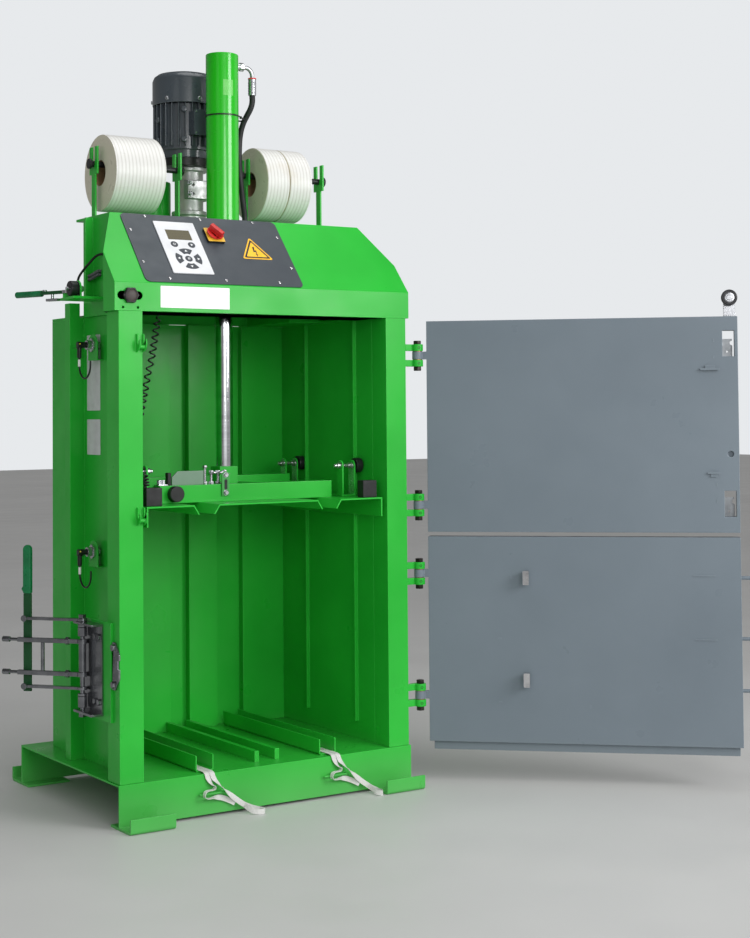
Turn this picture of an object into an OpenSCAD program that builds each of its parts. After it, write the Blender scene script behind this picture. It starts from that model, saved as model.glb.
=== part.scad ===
// Vertical recycling baler with two front doors, a hydraulic press plate and strap rolls on top.
// X runs to the right, Y to the rear and Z up. The origin lies on the floor,
// at the centre of the four anchor holes in the feet.

/* [Base] */
// Width of the base
base_w = 1050; // [1000:10:1150]
// Depth of the base between its front and rear skirts
base_d = 762; // [750:1:820]
// Height of the base's top plate
base_h = 131; // [115:1:145]
// Thickness of the base's folded plate
base_t = 6; // [4:1:8]
// Width of each foot
foot_w = 148; // [120:1:170]
// How far each foot reaches past the skirt
foot_reach = 80; // [70:1:100]
// Height of the upturned lip of a foot
foot_h = 46; // [35:1:60]
// Thickness of a foot
foot_t = 8; // [6:1:10]
// Diameter of an anchor hole in a foot
anchor_d = 18; // [12:1:22]

/* [Frame] */
// Width of a front post
post_w = 79; // [70:1:85]
// Depth of a front post
post_d = 85; // [75:1:95]
// Wall of a front post
post_t = 5; // [3:1:8]
// How far the posts stand in from the base's ends
post_inset = 5; // [2:1:10]
// How far the posts stand back from the base's front skirt
front_inset = 4; // [2:1:6]
// Thickness of the chamber's side and rear walls
wall_t = 4; // [3:1:6]
// Depth from the base's front skirt to the chamber's rear wall
chamber_d = 680; // [660:1:690]
// Width of the stiffening rib on each side wall
rib_w = 49; // [40:1:60]
// Depth of the stiffening rib on each side wall
rib_d = 40; // [30:1:50]

/* [Head] */
// Height of the head's underside, which is the top of the door opening
head_z = 1538; // [1534:1:1560]
// Height of the hood's front lip
lip_h = 86; // [80:1:95]
// Height of the whole head
head_h = 318; // [300:1:340]
// How far the hood stands out past each end of the base
hood_over = 8; // [5:1:15]
// How far the head stands out past each side wall of the chamber
head_over = 14; // [8:1:20]
// How far the slope runs back
slope_run = 195.5; // [180:0.5:210]
// How far back the hood keeps its full width
cheek_run = 81; // [70:1:90]
// Thickness of the hood's sheet
hood_t = 3; // [2:0.5:4]
// Thickness of the head frame's plates
head_t = 8; // [6:1:12]

/* [Control panel] */
// Width of the control panel
panel_w = 556; // [540:1:580]
// Thickness of the control panel
panel_t = 3; // [2:0.5:4]
// Width of the keypad
keypad_w = 141; // [130:1:150]
// Height of the keypad along the slope
keypad_h = 227; // [210:1:235]
// Side of the main switch's square plate
switch_w = 60; // [50:1:66]

/* [Doors] */
// How far the doors' free edges stand in from the left post's outer side
door_inset = 39; // [34:1:45]
// Thickness of a door
door_t = 45; // [36:1:50]
// Thickness of the doors' sheet
door_sheet = 4; // [3:1:6]
// Height of the gap between the two doors above the floor
door_split = 821; // [780:1:840]
// Gap between the two doors
door_gap = 15; // [8:1:20]
// How far open the doors stand
door_open = 137; // [130:1:140]
// Diameter of a hinge pin
hinge_pin_d = 16; // [12:1:18]

/* [Hydraulics] */
// Outer diameter of the cylinder
barrel_d = 108; // [100:1:115]
// Height of the cylinder's top
barrel_top = 2417; // [2390:1:2430]
// Diameter of the piston rod
rod_d = 60; // [50:1:65]
// Diameter of the hydraulic hose
hose_d = 20; // [16:1:22]
// Diameter of the motor's fan cowl
motor_d = 218; // [200:1:222]
// Height of the motor's top
motor_top = 2386; // [2370:1:2400]

/* [Press plate] */
// Height of the press plate as it stands
press_z = 948; // [900:1:980]
// Gap between the press plate and the chamber's side walls
press_gap = 15; // [14:1:20]
// Thickness of the press plate's sheet
press_t = 5; // [4:1:8]
// Depth of the press plate's side skirts
skirt_h = 62; // [50:1:75]
// Width at the top of a strap slot in the press plate
slot_w = 87; // [80:1:95]
// Diameter of a guide roller
roller_d = 50; // [40:1:54]

/* [Strap rolls] */
// Outer diameter of a strap roll
roll_d = 250; // [220:1:256]
// Width of the wide strap roll
roll_w = 178; // [150:1:190]
// Bore of a strap roll's core
core_d = 76; // [70:1:80]
// Diameter of the rods that carry the rolls
roll_rod_d = 20; // [16:1:24]

/* [Latches] */
// Length of the lower latch's hook arms
hook_l = 262; // [250:1:270]
// Diameter of the lower latch's hinge pin
latch_pin_d = 14; // [12:1:16]

/* [Hidden] */
$fn = 48;
// clearance of a pin in its bore, on the radius
pin_gap = 0.05;
// gap between pieces that pass each other
gap = 0.3;

// planes of the frame
skirt_y = -base_d / 2;
front_y = skirt_y + front_inset;
post_out = base_w / 2 - post_inset;
post_in = post_out - post_w;
post_rear_y = front_y + post_d;
wall_out = post_in + wall_t;
hood_w = base_w + 2 * hood_over;
head_w = 2 * (wall_out + head_over);
rear_y = skirt_y + chamber_d;
head_top = head_z + head_h;
lip_top = head_z + lip_h;
slope_y = front_y + slope_run;
head_rear_y = rear_y + 20;
slope_k = (head_top - lip_top) / slope_run;
slope_a = atan(slope_k);
slope_l = slope_run / cos(slope_a);

// strap lines, where the floor channels, wall recesses and press plate slots line up
strap_x = 222;
channel_w = 62;
channel_h = 50;
channel_t = 4;
recess_w = 104;
recess_d = 30;
centre_x = 24;
centre_recess_w = 74;
centre_bars = [-23, 50];
recesses = [[-strap_x, recess_w], [centre_x, centre_recess_w], [strap_x, recess_w]];

// cylinder and what stands on the head
cyl_y = skirt_y + 310;
barrel_z = head_z + 24;
bore_low = barrel_z + 54;
bore_high = barrel_top - 20;
piston_bore = 90;
ram_down = 300;
piston_h = 50;
piston_z = bore_low + ram_down + 4;
mount_h = 106;
mount_w = 66;
roll_y = skirt_y + 420;
roll_z = head_top + roll_d / 2 + 28;
roll_rod_z = roll_z + core_d / 2 - roll_rod_d / 2 - gap;
motor_x = -24;
motor_y = skirt_y + 535;
stand_x = [-411, -112, 147, 442];
roll_left_x = -390;
roll_right_x = 166;
narrow_roll_w = 86;

// doors: modelled shut in front of the posts, then turned open about the hinge axis
hinge_x = post_out + 46;
hinge_y = front_y - 1;
door_first = 30;
door_w = hinge_x - door_first + post_out - door_inset;
door_bottom = base_h + 8;
door_top = head_z - 9;
upper_hinges = [1415, 918];
lower_hinges = [692, 291];
hinge_half = 37;
ear_t = 22;
window_w = 38;
window_h = 84;
window_x = door_first + door_w - window_w - 11;
window_zs = [1441, 922];
door_face = 2;
roller_x = door_first + door_w - 24;
door_roller_z = door_top + 62;
door_roller_d = 52;

// lower latch
latch_x = -(post_out + 30);
latch_y = skirt_y + 205;
latch_low = 322;
latch_high = 597;
hook_zs = [536, 436];
link_t = 9;
link_zs = [latch_high + gap + link_t / 2, 394];
link_l = 192;
grip_z = 676;
grip_l = 150;
latch_angle = 40;
ear_th = 7;
backing_t = 8;

// ram parts
press_hw = post_in - press_gap;
press_front = skirt_y + 10;
press_rear = rear_y - 20;
beam_y = skirt_y + 146;
beam_w = 50;
beam_h = 55;
beam_hw = 315;
rear_beam_hw = 350;
rear_beam_h = 68;
tongue_x = -86;
rail_t = 12;
rail_w = 8;
rail_ys = [skirt_y + 187, skirt_y + 500];
roller_x0 = post_in - 5 - 24;
roller_w = 24;
roller_z = press_z + 102;
roller_ys = [rail_ys[0] - roller_d / 2 - gap, rail_ys[1] + rail_w + roller_d / 2 + gap];

GREEN = [0.22, 0.72, 0.25];
GRAPHITE = [0.33, 0.38, 0.41];
ZINC = [0.75, 0.76, 0.78];
BLACK = [0.08, 0.08, 0.09];

// a block between two corners
module block(a, b) {
    translate([min(a[0], b[0]), min(a[1], b[1]), min(a[2], b[2])])
        cube([abs(b[0] - a[0]), abs(b[1] - a[1]), abs(b[2] - a[2])]);
}

// a copy on each side of the centre line
module both_sides() {
    children();
    mirror([1, 0, 0]) children();
}

// a box beam along X, open at its ends
module hollow_beam(a, b, t) {
    difference() {
        block(a, b);
        block([a[0] - 1, a[1] + t, a[2] + t], [b[0] + 1, b[1] - t, b[2] - t]);
    }
}

// a straight round bar along X, Y or Z
module bar_x(p, l, d) {
    translate(p) rotate([0, 90, 0]) cylinder(h = l, d = d);
}
module bar_y(p, l, d) {
    translate(p) rotate([-90, 0, 0]) cylinder(h = l, d = d);
}
module bar_z(p, l, d) {
    translate(p) cylinder(h = l, d = d);
}

// a hexagon bolt head or nut standing on its flat face
module hex_nut(p, across, h) {
    translate(p) cylinder(h = h, d = across / cos(30), $fn = 6);
}

// base
module base_frame() {
    color(GREEN) {
        block([-base_w / 2, skirt_y, base_h - base_t], [base_w / 2, -skirt_y, base_h]);
        for (s = [-1, 1])
            block([-base_w / 2, s * skirt_y, foot_t],
                [base_w / 2, s * (skirt_y + base_t), base_h - base_t]);
        for (x = [-strap_x, strap_x]) strap_hook(x);
        for (m = [0, 1]) mirror([0, m, 0]) {
            foot(-base_w / 2);
            foot(base_w / 2 - foot_w);
        }
    }
}

// a bent rod on the front skirt, round which a strap's loose end is tied
hook_z = base_h / 2 + 6;
module strap_hook(x) {
    rod = 7;
    stand_off = 12;
    translate([x + 42, skirt_y - stand_off, hook_z]) {
        sphere(d = rod);
        bar_y([0, 0, 0], stand_off, rod);
        bar_x([-84, 0, 0], 84, rod);
    }
}

// a foot: a flat plate with a rounded, upturned lip, drilled for its anchor
module foot(x0) {
    lip_r = 12;
    y_out = skirt_y - foot_reach;
    difference() {
        union() {
            block([x0, y_out + lip_r, 0], [x0 + foot_w, skirt_y + 60, foot_t]);
            block([x0, y_out, lip_r], [x0 + foot_w, y_out + foot_t, foot_h]);
            translate([x0, y_out + lip_r, lip_r]) rotate([90, 0, 90])
                linear_extrude(foot_w) intersection() {
                    difference() {
                        circle(r = lip_r);
                        circle(r = lip_r - foot_t);
                    }
                    translate([-lip_r, -lip_r]) square(lip_r);
                }
        }
        bar_z([x0 + foot_w / 2, skirt_y - foot_reach / 2 + 4, -1], foot_t + 2, anchor_d);
    }
}

// open channels on the floor of the chamber, which guide the straps under a bale
module channel_shape(w, r) {
    hull() {
        for (s = [-1, 1]) translate([s * (w / 2 - r), r]) circle(r = r);
        translate([-w / 2, channel_h]) square([w, 2]);
    }
}
module floor_channel(x, w) {
    translate([x, rear_y - 2, base_h]) rotate([90, 0, 0])
        linear_extrude(rear_y - 2 - skirt_y - 35) intersection() {
            difference() {
                channel_shape(w, 8);
                translate([0, channel_t]) channel_shape(w - 2 * channel_t, 4);
            }
            translate([-w, 0]) square([2 * w, channel_h]);
        }
}

module floor_channels() {
    color(GREEN) {
        floor_channel(-strap_x, channel_w);
        floor_channel(strap_x, channel_w);
        for (x = centre_bars)
            block([x - 8, skirt_y + 62, base_h], [x + 8, rear_y - 2, base_h + 34]);
    }
}

// a catch on the left post: two notched half-round plates on a cross bar
module striker(z) {
    r = 27;
    plate_t = 5;
    cx = hinge_x - window_x - window_w / 2;
    for (x = [cx - 13, cx + 13 - plate_t])
        translate([x, front_y, z]) rotate([90, 0, 90]) linear_extrude(plate_t) difference() {
            intersection() {
                circle(r = r);
                translate([-r, -r]) square([r + 2, 2 * r]);
            }
            translate([-16, 2]) circle(r = 7);
            translate([-23, 2]) square([14, r]);
        }
    bar_x([cx - 13, front_y - 14, z - 12], 26, 12);
}

module front_posts() {
    color(GREEN) {
        both_sides() difference() {
            block([post_in, front_y, base_h], [post_out, post_rear_y, head_z]);
            block([post_in + post_t, front_y + post_t, base_h - 1],
                [post_out - post_t, post_rear_y - post_t, head_z + 1]);
        }
        for (z = window_zs) striker(z);
    }
}

module side_walls() {
    rib_y = skirt_y + 425;
    rib_t = 4;
    rib_rise = 46;
    color(GREEN) both_sides() {
        block([post_in, post_rear_y, base_h], [wall_out, rear_y + wall_t, head_z]);
        difference() {
            union() {
                block([wall_out, rib_y, base_h], [wall_out + rib_w, rib_y + rib_d, head_z]);
                block([head_w / 2, rib_y, head_z], [wall_out + rib_w, rib_y + rib_d, head_z + rib_rise]);
            }
            block([wall_out + rib_t, rib_y + rib_t, base_h - 1],
                [wall_out + rib_w - rib_t, rib_y + rib_d - rib_t, head_z - rib_t]);
        }
        for (y = rail_ys)
            block([post_in - rail_t, y, base_h + 60], [post_in, y + rail_w, head_z]);
    }
}

// the rear wall: one sheet with three folded recesses, one behind each strap line
module rear_wall() {
    color(GREEN) difference() {
        union() {
            block([-post_in, rear_y, base_h], [post_in, rear_y + wall_t, head_z]);
            for (p = recesses)
                block([p[0] - p[1] / 2 - wall_t, rear_y, base_h],
                    [p[0] + p[1] / 2 + wall_t, rear_y + recess_d + wall_t, head_z]);
        }
        for (p = recesses)
            block([p[0] - p[1] / 2, rear_y - 1, base_h - 1],
                [p[0] + p[1] / 2, rear_y + recess_d, head_z + 1]);
    }
}

// head frame with the crosshead that carries the cylinder. Its sides end behind the cylinder, and a
// narrower box behind them carries the motor and the tank.
cross_w = 30;
cross_off = barrel_d / 2 + 2 + cross_w / 2;
head_side_y = cyl_y + cross_off + cross_w / 2 + 2;
back_hw = 310;
flange_y = slope_y + 122;
module head_frame() {
    hw = head_w / 2;
    color(GREEN) difference() {
        union() {
            block([-hw, slope_y, head_top - head_t], [hw, roll_y + 34, head_top]);
            block([-back_hw, slope_y, head_top - head_t], [back_hw, head_rear_y, head_top]);
            both_sides() {
                block([hw - head_t, slope_y, head_z], [hw, head_side_y, head_top - head_t]);
                block([post_in - 20, slope_y, head_z], [hw - head_t, head_side_y, head_z + head_t]);
                block([hw, flange_y, head_z + 54 + gap], [hw + 26, flange_y + head_t, head_top - 6]);
                block([back_hw - head_t, head_side_y - head_t, head_z],
                    [hw - head_t, head_side_y, head_top - head_t]);
                block([back_hw - head_t, head_side_y - head_t, head_z],
                    [back_hw, head_rear_y, head_top - head_t]);
                block([back_hw, head_side_y - head_t, head_z], [wall_out, rear_y + wall_t, head_z + head_t]);
            }
            block([-back_hw + head_t, head_rear_y - head_t, head_z],
                [back_hw - head_t, head_rear_y, head_top - head_t]);
            for (s = [-1, 1])
                hollow_beam([-hw + head_t, cyl_y + s * cross_off - cross_w / 2, barrel_z + 12],
                    [hw - head_t, cyl_y + s * cross_off + cross_w / 2, head_top - head_t], 6);
            block([-110, cyl_y - cross_off, barrel_z + 12], [110, cyl_y + cross_off, barrel_z + 36]);
        }
        bar_z([0, cyl_y, head_z], head_h + 2, barrel_d + 2 * pin_gap);
        bar_z([95, cyl_y + 20, head_top - head_t - 1], head_t + 2, hose_d + 10);
    }
}

// plan and side outlines of the hood, drawn in by g on every side
module hood_form(g, e) {
    drop = g * sqrt(1 + slope_k * slope_k);
    y0 = front_y + g;
    z0 = lip_top + (y0 - front_y) * slope_k - drop;
    y1 = front_y + (head_top - g - lip_top + drop) / slope_k;
    intersection() {
        translate([0, 0, head_z - e]) linear_extrude(head_h + 2 * e)
            polygon([[-hood_w / 2 + g, front_y + g], [hood_w / 2 - g, front_y + g],
                [hood_w / 2 - g, front_y + cheek_run], [head_w / 2 - g, slope_y],
                [head_w / 2 - g, slope_y + e], [-head_w / 2 + g, slope_y + e],
                [-head_w / 2 + g, slope_y], [-hood_w / 2 + g, front_y + cheek_run]]);
        translate([-hood_w / 2 - 1, 0, 0]) rotate([90, 0, 90]) linear_extrude(hood_w + 2)
            polygon([[y0, head_z - e], [y0, z0], [min(y1, slope_y + e), min(head_top - g, head_top)],
                [slope_y + e, head_top - g], [slope_y + e, head_z - e]]);
    }
}

// the slotted hole in the hood's lip, and the bolt in it
slot_x = -hood_w / 2 + 51;
slot_z = head_z + 46;
bolt_head_h = 10;
bolt_across = 52;
bolt_shank_d = 12;
bolt_shank_l = 22;

module hood() {
    slot_r = 12.5;
    slot_l = 57;
    pin_hole_d = 7;
    color(GREEN) difference() {
        union() {
            difference() {
                hood_form(0, 0);
                hood_form(hood_t, 2);
            }
            block([-hood_w / 2 + hood_t, front_y + hood_t, head_z],
                [hood_w / 2 - hood_t, front_y + 24, head_z + hood_t]);
            both_sides() block([post_in, front_y + hood_t, head_z],
                [hood_w / 2 - hood_t, front_y + cheek_run, head_z + hood_t]);
        }
        for (s = [-1, 1])
            bar_y([slot_x + s * slot_l / 2, front_y - 1, slot_z], hood_t + 2, 2 * slot_r);
        block([slot_x - slot_l / 2, front_y - 1, slot_z - slot_r],
            [slot_x + slot_l / 2, front_y + hood_t + 1, slot_z + slot_r]);
        for (x = [-23, 26])
            bar_y([slot_x + x, front_y - 1, head_z + 10], hood_t + 2, pin_hole_d);
    }
}

// places a shape on the slope: X across, then up the slope from the lip, then out of it
module on_slope(x, s, lift) {
    translate([0, front_y, lip_top]) rotate([slope_a, 0, 0]) translate([x, s, lift]) children();
}

module rounded_plate(w, h, t, r) {
    translate([r, 0, 0]) cube([w - 2 * r, h, t]);
    translate([0, r, 0]) cube([w, h - 2 * r, t]);
    for (x = [r, w - r], y = [r, h - r])
        translate([x, y, 0]) cylinder(h = t, r = r);
}

panel_x = -428;
panel_low = 3;
panel_h = slope_l - 2 * panel_low;
keypad_x = -325;
keypad_s = 41;
switch_x = -157;
switch_s = 184;

module control_panel() {
    color(GRAPHITE) on_slope(panel_x, panel_low, 0)
        rounded_plate(panel_w, panel_h, panel_t, 18);
}

module panel_screws() {
    edge = 16;
    color(ZINC)
        for (p = [[84, edge], [279, edge], [471, edge], [84, panel_h - edge + 6], [279, panel_h - edge + 6],
                [471, panel_h - edge + 6], [edge, 84], [edge, 223],
                [panel_w - edge, 84], [panel_w - edge, 223]])
            on_slope(panel_x + p[0], panel_low + p[1], panel_t)
                cylinder(h = 3, d1 = 10, d2 = 6);
}

// the keys lie in shallow pockets of the housing and stand a little out of its face
housing_t = 4;
pocket_z = 2;
key_top_z = housing_t + 0.8;
key_x = 73;
key_s = 64;
display_x = 30;
display_s = keypad_h - 80;
display_w = 84;
display_h = 44;

// outline of a key, grown by g for its pocket: two round keys, the centre key and four arched ones
module key_outline(i, g) {
    if (i == 0) translate([key_x - 30, 126]) circle(d = 24 + 2 * g);
    if (i == 1) translate([key_x + 30, 126]) circle(d = 24 + 2 * g);
    if (i == 2) translate([key_x, key_s]) circle(d = 24 + 2 * g);
    if (i > 2) translate([key_x, key_s]) rotate(90 * (i - 3)) intersection() {
        difference() {
            circle(r = 44 + g);
            circle(r = 22 - g);
        }
        polygon([[14, 6 + g], [60, 40 + g], [60, -40 - g], [14, -6 - g]]);
    }
}

module keypad_housing() {
    color([0.86, 0.87, 0.88]) on_slope(keypad_x, keypad_s, panel_t) difference() {
        rounded_plate(keypad_w, keypad_h, housing_t, 3);
        translate([display_x, display_s, pocket_z]) cube([display_w, display_h, housing_t]);
        translate([0, 0, pocket_z]) linear_extrude(housing_t)
            for (i = [0:6]) key_outline(i, gap);
    }
}

module keypad_display() {
    color([0.34, 0.32, 0.22]) on_slope(keypad_x + display_x, keypad_s + display_s, panel_t + pocket_z)
        cube([display_w, display_h, 1.4]);
}

module keypad_key(i) {
    travel = 0.8;
    color(BLACK) on_slope(keypad_x, keypad_s, panel_t + pocket_z + travel)
        linear_extrude(key_top_z - pocket_z - travel) key_outline(i, 0);
}
module key_upper_left() {
    keypad_key(0);
}
module key_upper_right() {
    keypad_key(1);
}
module key_centre() {
    keypad_key(2);
}
module key_right() {
    keypad_key(3);
}
module key_top() {
    keypad_key(4);
}
module key_left() {
    keypad_key(5);
}
module key_bottom() {
    keypad_key(6);
}

module main_switch_base() {
    color(BLACK) on_slope(switch_x, switch_s, panel_t) rounded_plate(switch_w, switch_w, 8, 3);
    color([0.93, 0.74, 0.1]) on_slope(switch_x, switch_s, panel_t + 8) {
        rounded_plate(switch_w, switch_w, 2, 3);
        translate([switch_w / 2, switch_w / 2, 2]) cylinder(h = 4, d = switch_w - 12);
    }
}

// the red handle: a round base with a grip bar across it
module main_switch_handle() {
    color([0.78, 0.12, 0.12])
        on_slope(switch_x + switch_w / 2, switch_s + switch_w / 2, panel_t + 14 + gap) {
            cylinder(h = 6, d = switch_w - 4);
            rotate(35) translate([-8, -25, 5]) cube([16, 50, 19]);
        }
}

// blank plates where the machine carries its signs: on the lip, the side wall and the panel
module label_plates() {
    label_t = 1;
    color([0.92, 0.92, 0.93])
        block([-381, front_y - label_t, head_z + 12], [-144, front_y, head_z + 78]);
    color([0.8, 0.8, 0.8]) difference() {
        for (z = [[1240, 1480], [1100, 1212]])
            block([-wall_out - label_t, skirt_y + 300, z[0]], [-wall_out, skirt_y + 400, z[1]]);
        block([-wall_out - label_t - 1, skirt_y + 299, sensor_zs[0] - 49],
            [-wall_out + 1, sensor_y + 36, sensor_zs[0] - 44]);
    }
    color([0.98, 0.75, 0.08]) on_slope(3, 121, panel_t)
        linear_extrude(label_t) polygon([[-56, 0], [56, 0], [0, 98]]);
}

module slot_bolt() {
    color(BLACK) {
        translate([slot_x, front_y - bolt_head_h, slot_z]) rotate([-90, 0, 0])
            cylinder(h = bolt_head_h, d = bolt_across, $fn = 6);
        bar_y([slot_x, front_y, slot_z], bolt_shank_l, bolt_shank_d);
    }
}

// hydraulic cylinder
module cylinder_barrel() {
    flange_d = 170;
    color(GREEN) difference() {
        union() {
            bar_z([0, cyl_y, barrel_z], barrel_top - barrel_z, barrel_d);
            bar_z([0, cyl_y, barrel_z - 4], 16, flange_d);
        }
        bar_z([0, cyl_y, barrel_z - 5], 60, rod_d + 2 * pin_gap);
        bar_z([0, cyl_y, bore_low], bore_high - bore_low, piston_bore);
    }
}

module piston_rod() {
    color(ZINC) {
        bar_z([0, cyl_y, press_z + mount_h], piston_z - press_z - mount_h, rod_d);
        bar_z([0, cyl_y, piston_z], piston_h, piston_bore - 2 * pin_gap);
    }
}

// union at the cylinder's top, bent tube and ferrule of the hose
fitting_z = barrel_top - 33;
bend_r = 26;
module hose_fitting() {
    x0 = barrel_d / 2;
    tube_d = 14;
    color(ZINC) {
        bar_x([x0, cyl_y, fitting_z], 12, 22);
        translate([x0 + 12, cyl_y, fitting_z]) rotate([0, 90, 0]) cylinder(h = 14, d = 30, $fn = 6);
        bar_x([x0 + 26, cyl_y, fitting_z], 8, tube_d);
        translate([x0 + 34, cyl_y, fitting_z - bend_r]) rotate([90, 0, 0])
            rotate_extrude(angle = 90) translate([bend_r, 0]) circle(d = tube_d);
        bar_z([x0 + 34 + bend_r, cyl_y, fitting_z - bend_r - 10], 10, tube_d);
        bar_z([x0 + 34 + bend_r, cyl_y, fitting_z - bend_r - 66], 56, 26);
    }
}

// sweeps a section along a route of points
function unit(v) = v / norm(v);
function tangent(p, i) = unit(p[min(i + 1, len(p) - 1)] - p[max(i - 1, 0)]);
function side_of(t) = unit(cross(t, abs(t[2]) > 0.9 ? [0, 1, 0] : [0, 0, 1]));
function ring(p, t, ref, w, h, n) = let (u = unit(ref - (ref * t) * t), v = cross(t, u))
    [for (k = [0:n - 1]) p + u * (w / 2 * cos(360 * k / n)) + v * (h / 2 * sin(360 * k / n))];
function frames(p, i, ref) = i == len(p) ? [] : let (t = tangent(p, i), u = unit(ref - (ref * t) * t))
    concat([u], frames(p, i + 1, u));
module swept(p, w, h, n, ref) {
    m = len(p);
    f = frames(p, 0, ref);
    pts = [for (i = [0:m - 1]) each ring(p[i], tangent(p, i), f[i], w, h, n)];
    sides = [for (i = [0:m - 2], k = [0:n - 1])
        [i * n + k, i * n + (k + 1) % n, (i + 1) * n + (k + 1) % n, (i + 1) * n + k]];
    ends = [[for (k = [n - 1:-1:0]) k], [for (k = [0:n - 1]) (m - 1) * n + k]];
    polyhedron(points = pts, faces = concat(ends, sides), convexity = 6);
}

// the hose's line: X and Y from the cylinder, and the share of its drop that is still to come
hose_x = barrel_d / 2 + 34 + bend_r;
hose_top = fitting_z - bend_r - 66;
hose_low = head_top - 56;
hose_line = [[hose_x, 0, 1], [hose_x, 0, 0.955], [hose_x - 4, 5, 0.911], [hose_x - 10, 19, 0.866],
    [hose_x - 16, 35, 0.813], [hose_x - 20, 47, 0.742], [hose_x - 22, 51, 0.65], [hose_x - 22, 51, 0.549],
    [hose_x - 21, 47, 0.447], [hose_x - 20, 39, 0.346], [hose_x - 19, 29, 0.244],
    [hose_x - 19, 21, 0.163], [hose_x - 19, 20, 0.102], [hose_x - 19, 20, 0]];
hose_route = [for (p = hose_line) [p[0], cyl_y + p[1], hose_low + p[2] * (hose_top - hose_low)]];
module hydraulic_hose() {
    color(BLACK) swept(hose_route, hose_d, hose_d, 12, [1, 0, 0]);
}

// motor and pump
cowl_h = 111;
cowl_z = motor_top - cowl_h;
shaft_d = 24;
fin_h = 156;
bell_h = 26;
plate_h = 28;
plate_z = cowl_z - fin_h - bell_h - plate_h;
module motor_body() {
    fin_n = 28;
    r = motor_d / 2;
    fin_z = cowl_z - fin_h;
    color([0.24, 0.27, 0.29]) translate([motor_x, motor_y, 0]) {
        difference() {
            union() {
                bar_z([0, 0, fin_z], fin_h, 2 * r - 34);
                for (i = [0:fin_n - 1]) rotate(360 * i / fin_n)
                    block([r - 20, -1.6, fin_z + 10], [r - 2, 1.6, cowl_z]);
                bar_z([0, 0, fin_z - bell_h], bell_h, 2 * r - 50);
                bar_z([0, 0, plate_z], plate_h, 170);
                block([-28, -r - 14, fin_z + 44], [28, -r + 24, fin_z + 126]);
            }
            bar_z([0, 0, cowl_z - 30], 40, shaft_d + 2 * pin_gap);
        }
        translate([0, 0, cowl_z]) difference() {
            rotate_extrude() polygon([[0, 0], [r, 0], [r, cowl_h - 28], [r - 6, cowl_h - 14],
                [r - 18, cowl_h - 5], [r - 40, cowl_h], [0, cowl_h]]);
            translate([0, 0, -1]) cylinder(h = cowl_h - 28, r = r - 3);
            for (a = [0:30:330]) rotate(a) translate([r * 0.45, 0, cowl_h - 40]) cylinder(h = 60, d = 12);
        }
    }
}

module motor_fan() {
    color(BLACK) translate([motor_x, motor_y, cowl_z]) {
        bar_z([0, 0, -26], 80, shaft_d);
        bar_z([0, 0, 14], 40, 42);
        for (a = [0:45:315]) rotate(a) block([15, -2, 14], [motor_d / 2 - 16, 2, 54]);
    }
}

module pump_housing() {
    top = plate_z;
    color([0.75, 0.75, 0.74]) difference() {
        union() {
            bar_z([motor_x + 16, motor_y, head_top + 60], top - head_top - 60, 96);
            block([motor_x - 20, motor_y - 62, head_top + 100], [motor_x + 84, motor_y + 40, top - 46]);
            bar_z([motor_x + 16, motor_y, head_top + 44], 16, 120);
            bar_z([motor_x + 16, motor_y, head_top], 44, 112);
            bar_z([motor_x + 16, motor_y, top - 14], 14, 124);
        }
        for (z = [head_top + 116, top - 62])
            bar_y([motor_x, motor_y - 63, z], 12, 8);
    }
}

module oil_tank() {
    color(GREEN) bar_z([motor_x - 78, motor_y + 86, head_top], 165, 120);
}

// strap rolls on their rods and fork stands
module fork_stand(x) {
    stand_t = 6;
    slot = roll_rod_d + 2 * gap;
    w = 60;
    translate([x - stand_t / 2, roll_y, 0]) difference() {
        union() {
            block([0, -w / 2, roll_rod_z - 34], [stand_t, w / 2, roll_rod_z + 56]);
            block([0, -14, head_top], [stand_t, 14, roll_rod_z - 34]);
            block([0, -30, head_top], [40, 30, head_top + 4]);
        }
        block([-1, -slot / 2, roll_rod_z], [stand_t + 1, slot / 2, roll_rod_z + 60]);
        bar_x([-1, 0, roll_rod_z], stand_t + 2, slot);
    }
}

module roll_stands() {
    color(GREEN) {
        for (i = [0, 2]) fork_stand(stand_x[i]);
        for (i = [1, 3]) translate([2 * stand_x[i], 0, 0]) mirror([1, 0, 0]) fork_stand(stand_x[i]);
    }
}

module roll_rods() {
    over = 16;
    color(BLACK)
        for (i = [0, 2]) translate([0, roll_y, roll_rod_z]) {
            bar_x([stand_x[i] - over, 0, 0], stand_x[i + 1] - stand_x[i] + 2 * over, roll_rod_d);
            for (x = [stand_x[i] - over - 4, stand_x[i + 1] + over - 4])
                bar_x([x, 0, 0], 8, roll_rod_d + 14);
        }
}

module strap_roll(x, w) {
    translate([x, roll_y, roll_z]) rotate([0, 90, 0]) {
        color([0.88, 0.87, 0.84]) difference() {
            cylinder(h = w, d = roll_d, $fn = 96);
            translate([0, 0, -1]) cylinder(h = w + 2, d = core_d + 10);
        }
        color([0.55, 0.42, 0.3]) difference() {
            cylinder(h = w, d = core_d + 10);
            translate([0, 0, -1]) cylinder(h = w + 2, d = core_d);
        }
    }
}
module strap_roll_left() {
    strap_roll(roll_left_x, roll_w);
}
module strap_roll_middle() {
    strap_roll(roll_right_x, narrow_roll_w);
}
module strap_roll_right() {
    strap_roll(roll_right_x + narrow_roll_w + 2, narrow_roll_w);
}

// hinges: two ears on the post for each knuckle of a door
module hinge_brackets() {
    ear_r = 19;
    color(GREEN)
        for (z = concat(upper_hinges, lower_hinges), s = [0, 1])
            translate([hinge_x, hinge_y, z + (s == 0 ? hinge_half - ear_t : -hinge_half)])
                difference() {
                    union() {
                        cylinder(h = ear_t, r = ear_r);
                        block([-(hinge_x - post_out), 2, 0], [0, ear_r, ear_t]);
                    }
                    bar_z([0, 0, -1], ear_t + 2, hinge_pin_d + 2 * pin_gap);
                }
}

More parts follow.
